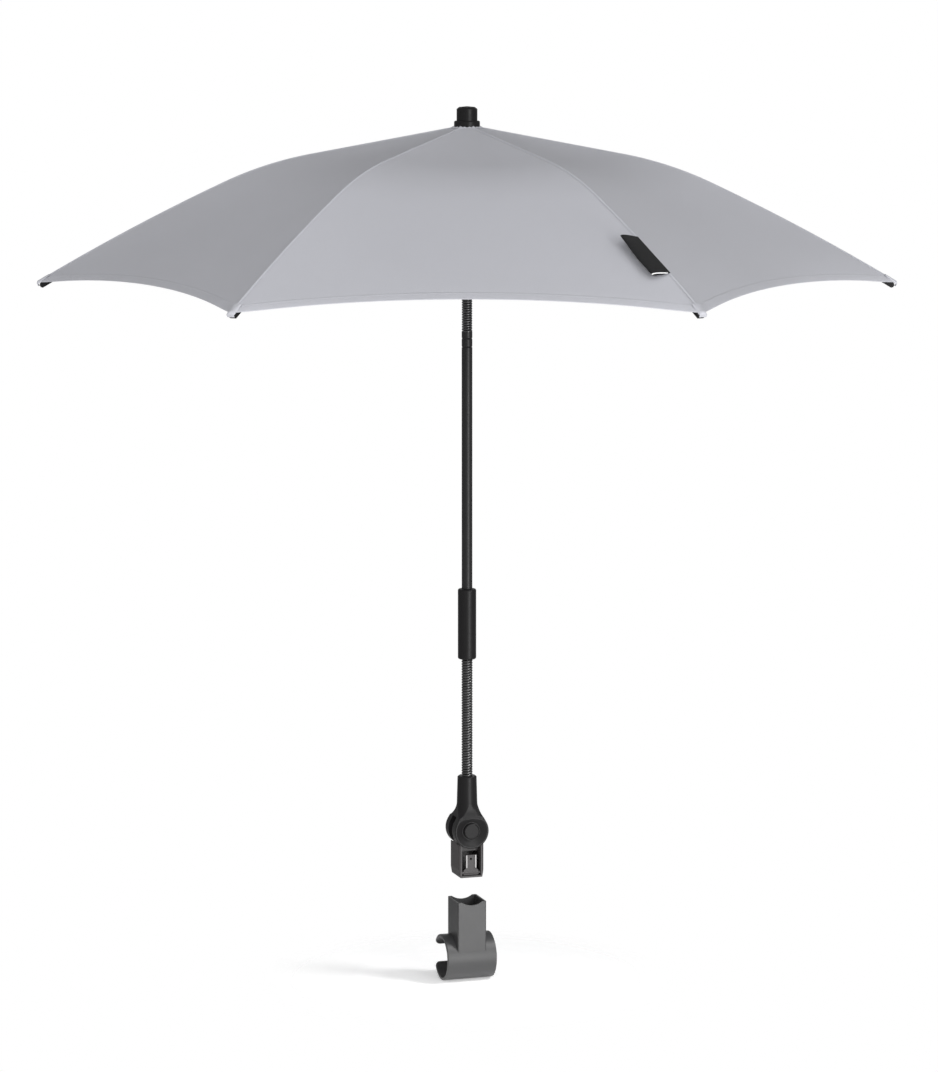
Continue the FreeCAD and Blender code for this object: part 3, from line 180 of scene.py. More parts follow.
class TabSizes(bpy.types.PropertyGroup):
    """Sizes of the fabric tab in the front right seam"""

    margin: length_setting("Margin", "Tab short of the rib's end", 0.053)
    length: length_setting("Length", "Tab along the seam", 0.056)
    width: length_setting("Width", "Tab from the seam to its fold", 0.0200)
    skew: length_setting("Skew", "Tab's fold slipped along the seam", 0.0035)
    lift: angle_setting("Lift", "Tab off the panel", 21)
    twist: angle_setting("Twist", "Extra lift of the tab's upper end over its lower one", 8)
    opening: length_setting("Opening", "How far the folded tab stands open", 0.0017)
    thickness: length_setting("Thickness", "Tab's webbing", 0.0005)
    # The pale strip along the tab's cut edge is a painted highlight
    edge: length_setting("Cut edge", "Thickness of the pale painted highlight on the cut edge", 0.0011)


class NeckSizes(bpy.types.PropertyGroup):
    """Sizes of the two goosenecks and the button's spring"""

    lower_turns: count_setting("Lower turns", "Turns of the lower gooseneck", 46)
    upper_turns: count_setting("Upper turns", "Turns of the upper gooseneck", 35)
    fullness: number_setting("Fullness", "Wire's thickness as a share of the pitch", 0.97)
    steps: count_setting("Steps", "Faces along one turn", 28)
    sides: count_setting("Sides", "Faces round the wire", 12)
    seat: length_setting("Seat", "Turns hidden in the holders", 0.0012)
    spring_turns: count_setting("Spring turns", "Turns of the button's spring", 2)
    spring_wire: length_setting("Spring wire", "Wire of the button's spring", 0.0005)


class LatchSizes(bpy.types.PropertyGroup):
    """Sizes of the pale bands of painted highlight on the rails of the plug's spring latch"""

    rail_place: length_setting("Rail", "Middle of a rail from the latch's middle", 0.0042)
    rail_width: length_setting("Rail width", "Band of painted highlight on a rail", 0.0013)
    rail_foot: length_setting("Rail foot", "Foot of the highlight band above the latch's foot", 0.0066)
    rail_rise: length_setting("Rail rise", "Highlight band in front of the rail", 0.00012)


class FinishColours(bpy.types.PropertyGroup):
    """Colours of the finishes"""

    fabric: colour_setting("Canopy", "Canopy fabric", (0.50, 0.505, 0.545))
    thread: colour_setting("Thread", "Sewing thread", (0.48, 0.485, 0.515))
    tab: colour_setting("Tab", "Black fabric tab", (0.014, 0.014, 0.015))
    # Pale colour of the tab's cut edge: a painted highlight
    tab_edge_highlight: colour_setting("Tab edge highlight", "Painted highlight on the tab's cut edge", (0.80, 0.80, 0.80))
    # Pale colour of the latch's rail bands: a painted highlight
    rail_highlight: colour_setting("Rail highlights", "Painted highlight on the latch's rails", (0.34, 0.33, 0.33))
    moulding: colour_setting("Moulding", "Charcoal moulded plastic", (0.0085, 0.008, 0.0085))
    plug: colour_setting("Plug", "Plug's and latch's moulded plastic", (0.045, 0.041, 0.042))
    clip: colour_setting("Clip", "Clip's moulded plastic", (0.034, 0.034, 0.035))
    plating: colour_setting("Plating", "Dark plated goosenecks", (0.2, 0.2, 0.2))
    coating: colour_setting("Coating", "Black coated metal", (0.009, 0.009, 0.0095))
    steel: colour_setting("Steel", "Bare steel", (0.46, 0.46, 0.47))


class StageSettings(bpy.types.PropertyGroup):
    """Camera, light and floor"""

    distance: length_setting("Distance", "Camera to the stem, level", 3.5)
    height: length_setting("Height", "Camera above the clip's bore", 0.874)
    azimuth: angle_setting("Azimuth", "Camera's direction round the stem", -18)
    pitch: angle_setting("Pitch", "Camera's downward tilt", 7.97)
    focal: number_setting("Focal length", "Focal length in image rows", 3966.0)
    key_power: number_setting("Key power", "Power of the lamp", 32.0)
    key_width: length_setting("Key width", "Lamp across", 0.7)
    key_tall: length_setting("Key tall", "Lamp up and down", 2.6)
    key_distance: length_setting("Key distance", "Lamp to the stem, level", 2.8)
    key_turn: angle_setting("Key turn", "Lamp to the right of the camera", 32)
    key_height: length_setting("Key height", "Lamp's middle above the clip's bore", 0.2)
    ambient: number_setting("Ambient", "Surrounding light from the camera's side", 1.72)
    room: number_setting("Room", "Brightness of the room beside the white backdrop", 0.22)
    side_power: number_setting("Side power", "Power of the lamp on the clip's floor", 50.0)
    side_place: FloatVectorProperty(name="Side lamp", description="Side lamp: right, towards the camera, up",
                                    size=3, default=(0.92, 0.3, 1.0), unit="LENGTH")
    side_cone: angle_setting("Side cone", "Cone of the side lamp", 19)
    side_size: length_setting("Side size", "Radius of the side lamp", 0.16)
    floor_lift: number_setting("Floor lift", "White added to the lit floor", 0.36)
    floor_gap: length_setting("Floor gap", "Floor below the clip", 0.0003)
    floor_clear: length_setting("Floor clear", "Where the floor starts to fade", 0.075)
    floor_radius: length_setting("Floor", "Where the floor has faded", 0.19)


# Rib line: the middle of a rib in the upright plane through the stem


def rib_pieces():
    """Start radius, height, slope and bend radius of a rib's three parts, and the radius of its end."""
    sizes = bpy.context.scene.parasol_canopy
    slope = sizes.arm_slope
    radius = HINGE_RADIUS + sizes.arm_length * math.cos(slope)
    height = HINGE.z - sizes.arm_length * math.sin(slope)
    pieces = [(HINGE_RADIUS, HINGE.z, slope, None)]
    for length, turn in ((sizes.bend_length, sizes.bend_turn), (sizes.outer_length, sizes.outer_turn)):
        bend = length / turn
        pieces.append((radius, height, slope, bend))
        after = slope + turn
        radius += bend * (math.sin(after) - math.sin(slope))
        height += bend * (math.cos(after) - math.cos(slope))
        slope = after
    return pieces, radius


def rib_point(pieces, radius, lift):
    """Point over a rib, lifted square to it: distance from the stem, height and slope."""
    start, height, slope, bend = [piece for piece in pieces if piece is pieces[0] or radius >= piece[0]][-1]
    if bend is None:
        level = height - (radius - start) * math.tan(slope)
        here = slope
    else:
        here = math.asin(math.sin(slope) + (radius - start) / bend)
        level = height + bend * (math.cos(here) - math.cos(slope))
    return radius + lift * math.sin(here), level + lift * math.cos(here), here


def fold_joint(index):
    """Name of the joint that folds a rib."""
    return "canopy_fold" if index == 1 else f"rib_{index}_fold"


def rib_frame(index):
    """Matrix from a rib's own axes (outwards, across, up) to the frame's."""
    outwards = Vector(JOINTS[fold_joint(index)]["pos_m"]) - STEM
    outwards.z = 0
    outwards.normalize()
    matrix = Matrix((outwards, UP.cross(outwards), UP)).transposed().to_4x4()
    matrix.translation = STEM
    return matrix


def numbered(name):
    """Names of the six nodes of one kind, one for each rib."""
    return [f"{name}_{index}" for index in range(1, RIB_COUNT + 1)]


# Meshes

# Edges of a thickened sheet that turn by more than this stay crisp
RIM_ANGLE = math.radians(50)
# A sheet's points are merged where they are nearer than its thickness divided by this
MERGE_PART = 1000


def add_piece(name, mesh_data, material):
    """Turn a bmesh into a named, smooth piece."""
    mesh = bpy.data.meshes.new(name)
    mesh_data.to_mesh(mesh)
    mesh_data.free()
    mesh.shade_smooth()
    mesh.materials.append(material)
    piece = bpy.data.objects.new(name, mesh)
    bpy.context.scene.collection.objects.link(piece)
    return piece


def thicken(piece, thickness):
    """Give a sheet its thickness, with crisp rims."""
    modifier = piece.modifiers.new("thickness", "SOLIDIFY")
    modifier.thickness = thickness
    modifier.offset = 0.0
    graph = bpy.context.evaluated_depsgraph_get()
    finished = bpy.data.meshes.new_from_object(piece.evaluated_get(graph))
    piece.modifiers.remove(modifier)
    single = piece.data
    piece.data = finished
    bpy.data.meshes.remove(single)
    finished.set_sharp_from_angle(angle=RIM_ANGLE)


def cloth_sheet(name, rows, columns, point, turn, thickness, material):
    """A sheet of cloth: point gives a place for a row number and a share from -1 to 1 across.

    Returns the piece and the area of its middle surface."""
    half = 0.5
    mesh_data = bmesh.new()
    bmesh.ops.create_grid(mesh_data, x_segments=rows, y_segments=columns, size=half, calc_uvs=True)
    cloth_map = mesh_data.loops.layers.uv.verify()
    flat = {}
    for vertex in mesh_data.verts:
        row = round((vertex.co.x + half) * rows)
        vertex.co = point(row, vertex.co.y / half)
        flat[vertex] = (vertex.co.y, vertex.co.x)
    for face in mesh_data.faces:
        for loop in face.loops:
            loop[cloth_map].uv = flat[loop.vert]
    bmesh.ops.remove_doubles(mesh_data, verts=mesh_data.verts, dist=thickness / MERGE_PART)
    mesh_data.transform(turn)
    bmesh.ops.recalc_face_normals(mesh_data, faces=mesh_data.faces)
    area = sum(face.calc_area() for face in mesh_data.faces)
    piece = add_piece(name, mesh_data, material)
    thicken(piece, thickness)
    return piece, area


# Materials

WHITE = (1.0, 1.0, 1.0, 1.0)
# Phase, in radians, that a wave texture of scale 1 gains over one unit
WAVE_RATE = 20


class NodeSet:
    """A node material under construction."""

    def __init__(self, name):
        self.material = bpy.data.materials.new(name)
        self.material.use_nodes = True
        self.tree = self.material.node_tree
        self.shader = self.tree.nodes["Principled BSDF"]
        self.place = self.add("ShaderNodeTexCoord")

    def add(self, kind, **settings):
        """A new node, with its inputs or its own settings set by name."""
        node = self.tree.nodes.new(kind)
        for key, setting in settings.items():
            if key in node.inputs:
                node.inputs[key].default_value = setting
            else:
                setattr(node, key, setting)
        return node

    def join(self, output, target):
        """Lead an output to an input."""
        self.tree.links.new(output, target)

    def set(self, **settings):
        """Set the shader's inputs by name."""
        for key, setting in settings.items():
            self.shader.inputs[key.replace("_", " ")].default_value = setting

    def noise(self, scale, detail=3.0):
        """Cloudy pattern from 0 to 1."""
        node = self.add("ShaderNodeTexNoise", Scale=scale, Detail=detail)
        self.join(self.place.outputs["Object"], node.inputs["Vector"])
        return node.outputs["Fac"]

    def band(self, scale, direction):
        """Even bands across the cloth's own map, from 0 to 1."""
        node = self.add("ShaderNodeTexWave", Scale=scale, bands_direction=direction)
        self.join(self.place.outputs["UV"], node.inputs["Vector"])
        return node.outputs["Fac"]

    def spread(self, source, low, high):
        """Map a 0 to 1 pattern to a range."""
        node = self.add("ShaderNodeMapRange", **{"To Min": low, "To Max": high})
        self.join(source, node.inputs["Value"])
        return node.outputs["Result"]

    def combine(self, first, second, operation="ADD"):
        """Two patterns in one."""
        node = self.add("ShaderNodeMath", operation=operation)
        self.join(first, node.inputs[0])
        self.join(second, node.inputs[1])
        return node.outputs["Value"]

    def tint(self, colour, factor, dark, bright):
        """Vary a colour from dark to bright times itself by a 0 to 1 pattern."""
        node = self.add("ShaderNodeMix", data_type="RGBA")
        for socket, share in (("A", dark), ("B", bright)):
            node.inputs[socket].default_value = (*[part * share for part in colour], 1.0)
        self.join(factor, node.inputs["Factor"])
        self.join(node.outputs["Result"], self.shader.inputs["Base Color"])

    def gloss(self, factor, low, high):
        """Vary the roughness by a 0 to 1 pattern."""
        self.join(self.spread(factor, low, high), self.shader.inputs["Roughness"])

    def bump(self, height, distance):
        """Raise the surface by a pattern."""
        node = self.add("ShaderNodeBump", Distance=distance)
        self.join(height, node.inputs["Height"])
        self.join(node.outputs["Normal"], self.shader.inputs["Normal"])


def woven_material(name, colour, yarn, sheen, ripple):
    """Plain weave that follows the cloth's own metric map, with slack in its tone and lie."""
    nodes = NodeSet(name)
    scale = 2 * math.pi / (WAVE_RATE * yarn)
    weave = nodes.combine(nodes.band(scale, "X"), nodes.band(scale, "Y"), "MULTIPLY")
    cloud = nodes.noise(scale=9.0)
    fine = nodes.noise(scale=240.0)
    tone = nodes.combine(nodes.spread(cloud, low=0.0, high=0.7), nodes.spread(fine, low=0.0, high=0.3))
    nodes.tint(colour, tone, dark=0.955, bright=1.045)
    slack = nodes.spread(nodes.noise(scale=26.0, detail=4.0), low=0.0, high=ripple)
    nodes.bump(nodes.combine(weave, slack), distance=0.00012)
    nodes.gloss(fine, low=0.78, high=0.9)
    nodes.set(Sheen_Weight=sheen, Sheen_Roughness=0.5, Specular_IOR_Level=0.2)
    return nodes.material


def moulded_material(name, colour, rough, grain, depth, shine=0.5):
    """Moulded plastic with a fine spark grain and slightly uneven gloss."""
    uneven = 0.05
    nodes = NodeSet(name)
    cloud = nodes.noise(scale=60.0)
    nodes.tint(colour, cloud, dark=0.88, bright=1.12)
    nodes.gloss(cloud, low=rough - uneven, high=rough + uneven)
    nodes.bump(nodes.noise(scale=grain, detail=2.0), distance=depth)
    nodes.set(Specular_IOR_Level=shine)
    return nodes.material


def coated_material(name, colour, rough, coat):
    """Black coated metal with faint streaks in its gloss."""
    smoother = 0.04
    duller = 0.06
    nodes = NodeSet(name)
    streak = nodes.noise(scale=180.0, detail=4.0)
    nodes.tint(colour, streak, dark=0.85, bright=1.15)
    nodes.gloss(streak, low=rough - smoother, high=rough + duller)
    nodes.bump(nodes.noise(scale=700.0), distance=0.00002)
    nodes.set(Coat_Weight=coat, Coat_Roughness=0.12, Specular_IOR_Level=0.6)
    return nodes.material


def steel_material(name, colour):
    """Drawn steel, bare or plated."""
    nodes = NodeSet(name)
    streak = nodes.noise(scale=420.0, detail=5.0)
    nodes.tint(colour, streak, dark=0.8, bright=1.1)
    nodes.gloss(streak, low=0.24, high=0.42)
    nodes.set(Metallic=1.0)
    return nodes.material


def dress(material, *names):
    """Give CAD nodes a finish in place of their plain one."""
    for name in names:
        slots = NODES[name].data.materials
        slots.clear()
        slots.append(material)


# Canopy

# Rounds in which the hem's radius, and the band's share of a row, settle
HEM_ROUNDS = 8
BAND_ROUNDS = 6
# Share of the way to mid-panel at which the hem puckers most
PUCKER_SHARE = 0.1
# Seam: faces along and across it, and its start under the gather's rim
SEAM_ROWS = 80
SEAM_COLUMNS = 6
SEAM_TUCK = 0.002
# Stitch lines: points along one, its place in from the hem's edge as a share of the hem's width,
# and its place beside a rib's middle as a share of the seam's width
LINE_STEPS = 60
HEM_STITCH_SHARE = 0.8
SEAM_STITCH_SHARE = 0.8
# Corner pocket: faces along and across it, half the angle of its arch, the arch's depth at its start
# and what is added to that at its end, and the share of its width that is lost at its end
POCKET_ROWS = 20
POCKET_COLUMNS = 12
POCKET_WRAP = math.radians(75)
POCKET_ARCH = 0.0012
HOOD_ARCH = 0.0030
POCKET_TAPER = 0.2
# Gather: faces from the eye to its rim and round one fold, the share of a half wave at which its rise
# starts at the eye, and its height between two folds as a share of a fold's
GATHER_ROWS = 8
FOLD_COLUMNS = 16
RISE_START = 0.12
FOLD_FOOT = 0.3


def hem_radius(end, share):
    """Distance along a rib's line at which the scalloped hem is met, at a share of the way to mid-panel."""
    sizes = bpy.context.scene.parasol_canopy
    corner = end + sizes.hem_reach
    chord = 2 * corner * math.sin(HALF_ANGLE)
    curve = (chord ** 2 / 4 + sizes.hem_scallop ** 2) / (2 * sizes.hem_scallop)
    centre = corner * math.cos(HALF_ANGLE) - sizes.hem_scallop + curve
    radius = corner
    for _ in range(HEM_ROUNDS):
        aside = radius * math.sin(HALF_ANGLE) * (1 - share)
        radius = (centre - math.sqrt(curve ** 2 - aside ** 2)) / math.cos(HALF_ANGLE)
    return radius


def panel_point(pieces, radius, hem, share, lift):
    """Point of the canopy in a rib's own axes: level across the panel, drawn in between the ribs."""
    sizes = bpy.context.scene.parasol_canopy
    side = abs(share)
    corner = side / PUCKER_SHARE
    roll = sizes.hem_roll * min(corner, 1.0) + sizes.hem_pucker * corner * math.exp(1 - corner)
    edge = max(0.0, 1 - (hem - radius) / sizes.hem_roll_reach) ** 2
    reach, level, _ = rib_point(pieces, radius, lift - roll * edge)
    along = (radius - sizes.eye_radius) / (hem - sizes.eye_radius)
    sag = sizes.panel_sag * side * (2 - side) * math.sin(math.pi * along)
    inwards = reach * math.sin(HALF_ANGLE) ** 2 * side
    across = reach * math.sin(HALF_ANGLE) * math.cos(HALF_ANGLE) * side
    return Vector((reach - inwards, math.copysign(across, share), level - sag))


def gore_row(row, hem):
    """Distance from the stem, and step above the single fabric, of one row of a gore."""
    sizes = bpy.context.scene.parasol_canopy
    width = sizes.hem_width
    step = sizes.hem_step
    # Rows of the turned hem: distance in from its edge, and rise
    turned = ((width + 3 * step, 0.0), (width + step, 0.0), (width, step), (width - 2 * step, step),
              (width / 2, step), (3 * step, step), (step, step), (0.0, 0.0))
    plain = sizes.rows + 1 - len(turned)
    if row >= plain:
        back, rise = turned[row - plain]
        return hem - back, rise
    start = sizes.eye_radius
    return start + (hem - turned[0][0] - start) * row / plain, 0.0


def band_share(row, end):
    """Share of the way to mid-panel that the band over a rib takes up in one row of a gore."""
    sizes = bpy.context.scene.parasol_canopy
    share = 1.0
    for _ in range(BAND_ROUNDS):
        radius, _ = gore_row(row, hem_radius(end, share))
        if radius < sizes.turn_end:
            return 1.0
        share = min(1.0, sizes.band_width / (radius * math.sin(2 * HALF_ANGLE)))
    return share


def turn_with_rib(piece, index):
    """Bake a piece's placement into its mesh."""
    place = rib_frame(index)
    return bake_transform(piece)


def gather(piece, index, side):
    """Hang a piece of a gore's wing on its rib's body, with a mesh of its own."""
    across = rib_frame(index).to_3x3() @ Vector((0, side, 0))
    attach(piece, f"rib_{index}")
    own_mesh(piece)
    return piece


def build_gore(index, pieces, end, material):
    """One gore, from mid-panel to mid-panel: a band over its rib, and a wing on each side hung on the rib."""
    sizes = bpy.context.scene.parasol_canopy
    turn = rib_frame(index)
    shares = [band_share(row, end) for row in range(sizes.rows + 1)]
    first = next(row for row, share in enumerate(shares) if share < 1.0) - 1

    def place(row, share):
        hem = hem_radius(end, abs(share))
        radius, rise = gore_row(row, hem)
        return panel_point(pieces, radius, hem, share, sizes.fabric_lift + rise)

    def band_point(row, share):
        return place(row, share * shares[row])

    made = [cloth_sheet(f"canopy_cloth_{index}", sizes.rows, sizes.band_columns, band_point, turn,
                        sizes.fabric_thickness, material)]
    turn_with_rib(made[0][0], index)
    for side, name in SIDES:

        def wing_point(row, share):
            inner = shares[first + row]
            return place(first + row, side * (inner + (1 - inner) * (1 + share) / 2))

        made.append(cloth_sheet(f"canopy_wing_{index}_{name}", sizes.rows - first, sizes.columns, wing_point,
                                turn, sizes.fabric_thickness, material))
        gather(made[-1][0], index, side)
    for piece, _ in made:
        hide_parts(f"canopy_gore_{index}")
    return made


def build_seam(index, pieces, end, material):
    """Felled seam: a low rounded ridge over the rib, from the gather to the hem."""
    sizes = bpy.context.scene.parasol_canopy
    start = sizes.gather_radius - SEAM_TUCK
    stop = end + sizes.hem_reach

    def point(row, share):
        radius = start + (stop - start) * row / SEAM_ROWS
        ridge = sizes.seam_height * math.cos(share * math.pi / 2)
        place = panel_point(pieces, radius, stop, 0.0, sizes.fabric_lift + ridge)
        place.y = share * sizes.seam_width / 2
        return place

    seam, _ = cloth_sheet(f"seam_{index}", SEAM_ROWS, SEAM_COLUMNS, point, rib_frame(index),
                          sizes.fabric_thickness, material)
    return turn_with_rib(seam, index)


def stitch_places(points, normals):
    """Matrices of flat stitches laid along a line of points."""
    sizes = bpy.context.scene.parasol_canopy
    shape = Matrix.Diagonal((sizes.stitch_length, sizes.stitch_width, sizes.stitch_width, 1.0))
    travelled = 0.0
    due = 0.0
    places = []
    for start, end, normal in zip(points, points[1:], normals):
        along = (end - start).normalized()
        run = (end - start).length
        while due < travelled + run:
            place = Matrix((along, normal.cross(along), normal)).transposed().to_4x4()
            place.translation = start + along * (due - travelled)
            places.append(place @ shape)
            due += sizes.stitch_pitch
        travelled += run
    return places


def hem_line(pieces, end, side, first, last):
    """Points and normals of the stitch line along a hem, between two shares of the way to mid-panel."""
    sizes = bpy.context.scene.parasol_canopy
    top = sizes.fabric_lift + sizes.hem_step + sizes.fabric_thickness / 2
    outwards = Vector((math.cos(HALF_ANGLE), side * math.sin(HALF_ANGLE), 0))
    points = []
    normals = []
    for step in range(LINE_STEPS + 1):
        share = side * (first + (last - first) * step / LINE_STEPS)
        hem = hem_radius(end, abs(share))
        radius = hem - sizes.hem_width * HEM_STITCH_SHARE
        points.append(panel_point(pieces, radius, hem, share, top))
        slope = rib_point(pieces, radius, 0)[2]
        tilt = math.atan(math.tan(slope) / math.cos(HALF_ANGLE))
        normals.append(outwards * math.sin(tilt) + UP * math.cos(tilt))
    return points, normals


def seam_line(pieces, end, side):
    """Points and normals of the stitch line beside a seam."""
    sizes = bpy.context.scene.parasol_canopy
    start = sizes.gather_radius
    points = []
    normals = []
    for step in range(LINE_STEPS + 1):
        radius = start + (end - sizes.hem_width - start) * step / LINE_STEPS
        reach, level, slope = rib_point(pieces, radius, sizes.fabric_lift + sizes.fabric_thickness / 2)
        points.append(Vector((reach, side * sizes.seam_width * SEAM_STITCH_SHARE, level)))
        normals.append(Vector((math.sin(slope), 0, math.cos(slope))))
    return points, normals


def sew(name, lines, turn, material):
    """Lay stitches along lines of points and normals."""
    one = bmesh.new()
    bmesh.ops.create_uvsphere(one, u_segments=6, v_segments=4, radius=0.5)
    laid = bpy.data.meshes.new("stitch")
    mesh_data = bmesh.new()
    for line in lines:
        for place in stitch_places(*line):
            copy = one.copy()
            copy.transform(place)
            copy.to_mesh(laid)
            copy.free()
            mesh_data.from_mesh(laid)
    one.free()
    bpy.data.meshes.remove(laid)
    mesh_data.transform(turn)
    return add_piece(name, mesh_data, material)


def build_stitches(index, pieces, end, material):
    """Stitches beside the seam and along the hem, apart for the band and for each wing."""
    sizes = bpy.context.scene.parasol_canopy
    turn = rib_frame(index)
    inner = band_share(sizes.rows, end)
    outset = inner * sizes.pocket_width / sizes.band_width
    lines = [seam_line(pieces, end, -1)]
    lines += [hem_line(pieces, end, side, outset, inner) for side, _ in SIDES]
    stitches = [turn_with_rib(sew(f"stitches_{index}", lines, turn, material), index)]
    for side, name in SIDES:
        line = hem_line(pieces, end, side, inner, 1.0)
        stitches.append(gather(sew(f"hem_stitches_{index}_{name}", [line], turn, material), index, side))
    return stitches


def build_pocket(index, pieces, end, material):
    """Sewn pocket that runs over the corner and curls down over the rib's end cap."""
    sizes = bpy.context.scene.parasol_canopy
    _, level, slope = rib_point(pieces, end, 0)
    along = Vector((math.cos(slope), 0, -math.sin(slope)))
    rise = Vector((math.sin(slope), 0, math.cos(slope)))
    foot = Vector((end, 0, level))
    bend = sizes.pocket_curl * math.pi / 2
    path = sizes.pocket_length + bend + sizes.pocket_fall
    top = sizes.fabric_lift + 2 * sizes.fabric_thickness

    def point(row, share):
        hood = row / POCKET_ROWS
        run = path * row / POCKET_ROWS
        turn = min(max(run - sizes.pocket_length, 0.0), bend) / sizes.pocket_curl
        fall = max(run - sizes.pocket_length - bend, 0.0)
        reach = sizes.pocket_reach - sizes.pocket_length + min(run, sizes.pocket_length)
        reach += sizes.pocket_curl * math.sin(turn)
        lift = top - sizes.pocket_curl * (1 - math.cos(turn)) - fall
        wrap = share * POCKET_WRAP
        droop = (POCKET_ARCH + HOOD_ARCH * hood) * (1 - math.cos(wrap)) * math.cos(turn)
        width = sizes.pocket_width * (1 - POCKET_TAPER * hood)
        return foot + along * reach + rise * (lift - droop) + Vector((0, width / 2 * math.sin(wrap), 0))

    pocket, _ = cloth_sheet(f"corner_pocket_{index}", POCKET_ROWS, POCKET_COLUMNS, point, rib_frame(index),
                            sizes.fabric_thickness, material)
    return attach(pocket, f"rib_{index}")


class PARASOL_OT_canopy(bpy.types.Operator):
    """Sew the canopy: six gores with seams, turned hems, stitches and corner pockets"""

    bl_idname = "parasol.canopy"
    bl_label = "Canopy"

    def execute(self, context):
        colours = context.scene.parasol_colours
        sizes = context.scene.parasol_canopy
        cloth = woven_material("canopy_weave", colours.fabric, yarn=0.0005, sheen=0.15, ripple=3.0)
        thread = woven_material("canopy_thread", colours.thread, yarn=0.0004, sheen=0.1, ripple=0.5)
        pieces, end = rib_pieces()
        wing_width = (end + sizes.hem_reach) * math.sin(HALF_ANGLE) - sizes.band_width / 2
        widths = (sizes.band_width, wing_width, wing_width)
        length = HINGE_RADIUS + sizes.arm_length + sizes.bend_length + sizes.outer_length + sizes.hem_reach
        for index in range(1, RIB_COUNT + 1):
            cloths = build_gore(index, pieces, end, cloth)
            sewn = [[stitches] for stitches in build_stitches(index, pieces, end, thread)]
            sewn[0] += [build_seam(index, pieces, end, cloth), build_pocket(index, pieces, end, cloth)]
            for (piece, area), width, extras in zip(cloths, widths, sewn):
                min(area, width * length)
                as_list(extras)
        return {"FINISHED"}


class PARASOL_OT_hub_gather(bpy.types.Operator):
    """Gather the fabric under the tip cap's collar"""

    bl_idname = "parasol.hub_gather"
    bl_label = "Hub gather"

    def execute(self, context):
        sizes = context.scene.parasol_canopy
        pieces, _ = rib_pieces()
        inner = sizes.eye_radius

        def point(row, share):
            angle = math.pi * share
            radius = inner + (sizes.gather_radius - inner) * row / GATHER_ROWS
            side = abs((angle / HALF_ANGLE) % 2 - 1)
            reach = radius * (1 - (1 - math.cos(HALF_ANGLE)) * (1 - side))
            fold = (1 + math.cos(sizes.gather_folds * angle)) / 2
            swell = math.sin(math.pi * (RISE_START + (1 - RISE_START) * row / GATHER_ROWS))
            rise = sizes.gather_height * swell * (FOLD_FOOT + (1 - FOLD_FOOT) * fold)
            level = rib_point(pieces, radius, sizes.fabric_lift + sizes.fabric_thickness)[1]
            return Vector((reach * math.cos(angle), reach * math.sin(angle), level + rise))

        cloth = bpy.data.materials["canopy_weave"]
        folds, area = cloth_sheet("hub_gather", GATHER_ROWS, FOLD_COLUMNS * sizes.gather_folds, point,
                                  rib_frame(1), sizes.fabric_thickness, cloth)
        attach(folds, "mast")
        across = 2 * sizes.gather_radius
        min(area, across ** 2)
        return {"FINISHED"}


# Fabric tab

# Faces along and across the tab, the wave along its fold, and its flat strip's width in tab widths
TAB_ROWS = 24
TAB_COLUMNS = 40
TAB_WAVE = 0.0007
STRIP_WIDTHS = 2.1
# Cut edge, whose pale colour is a painted highlight: steps along it, faces round it, its start and run in
# half turns, of which one leads from the seam to the fold, and the small turn, in radians, that shows where
# it heads
EDGE_STEPS = 24
EDGE_SIDES = 8
EDGE_START = 0.25
EDGE_RUN = 0.72
EDGE_AHEAD = 0.01


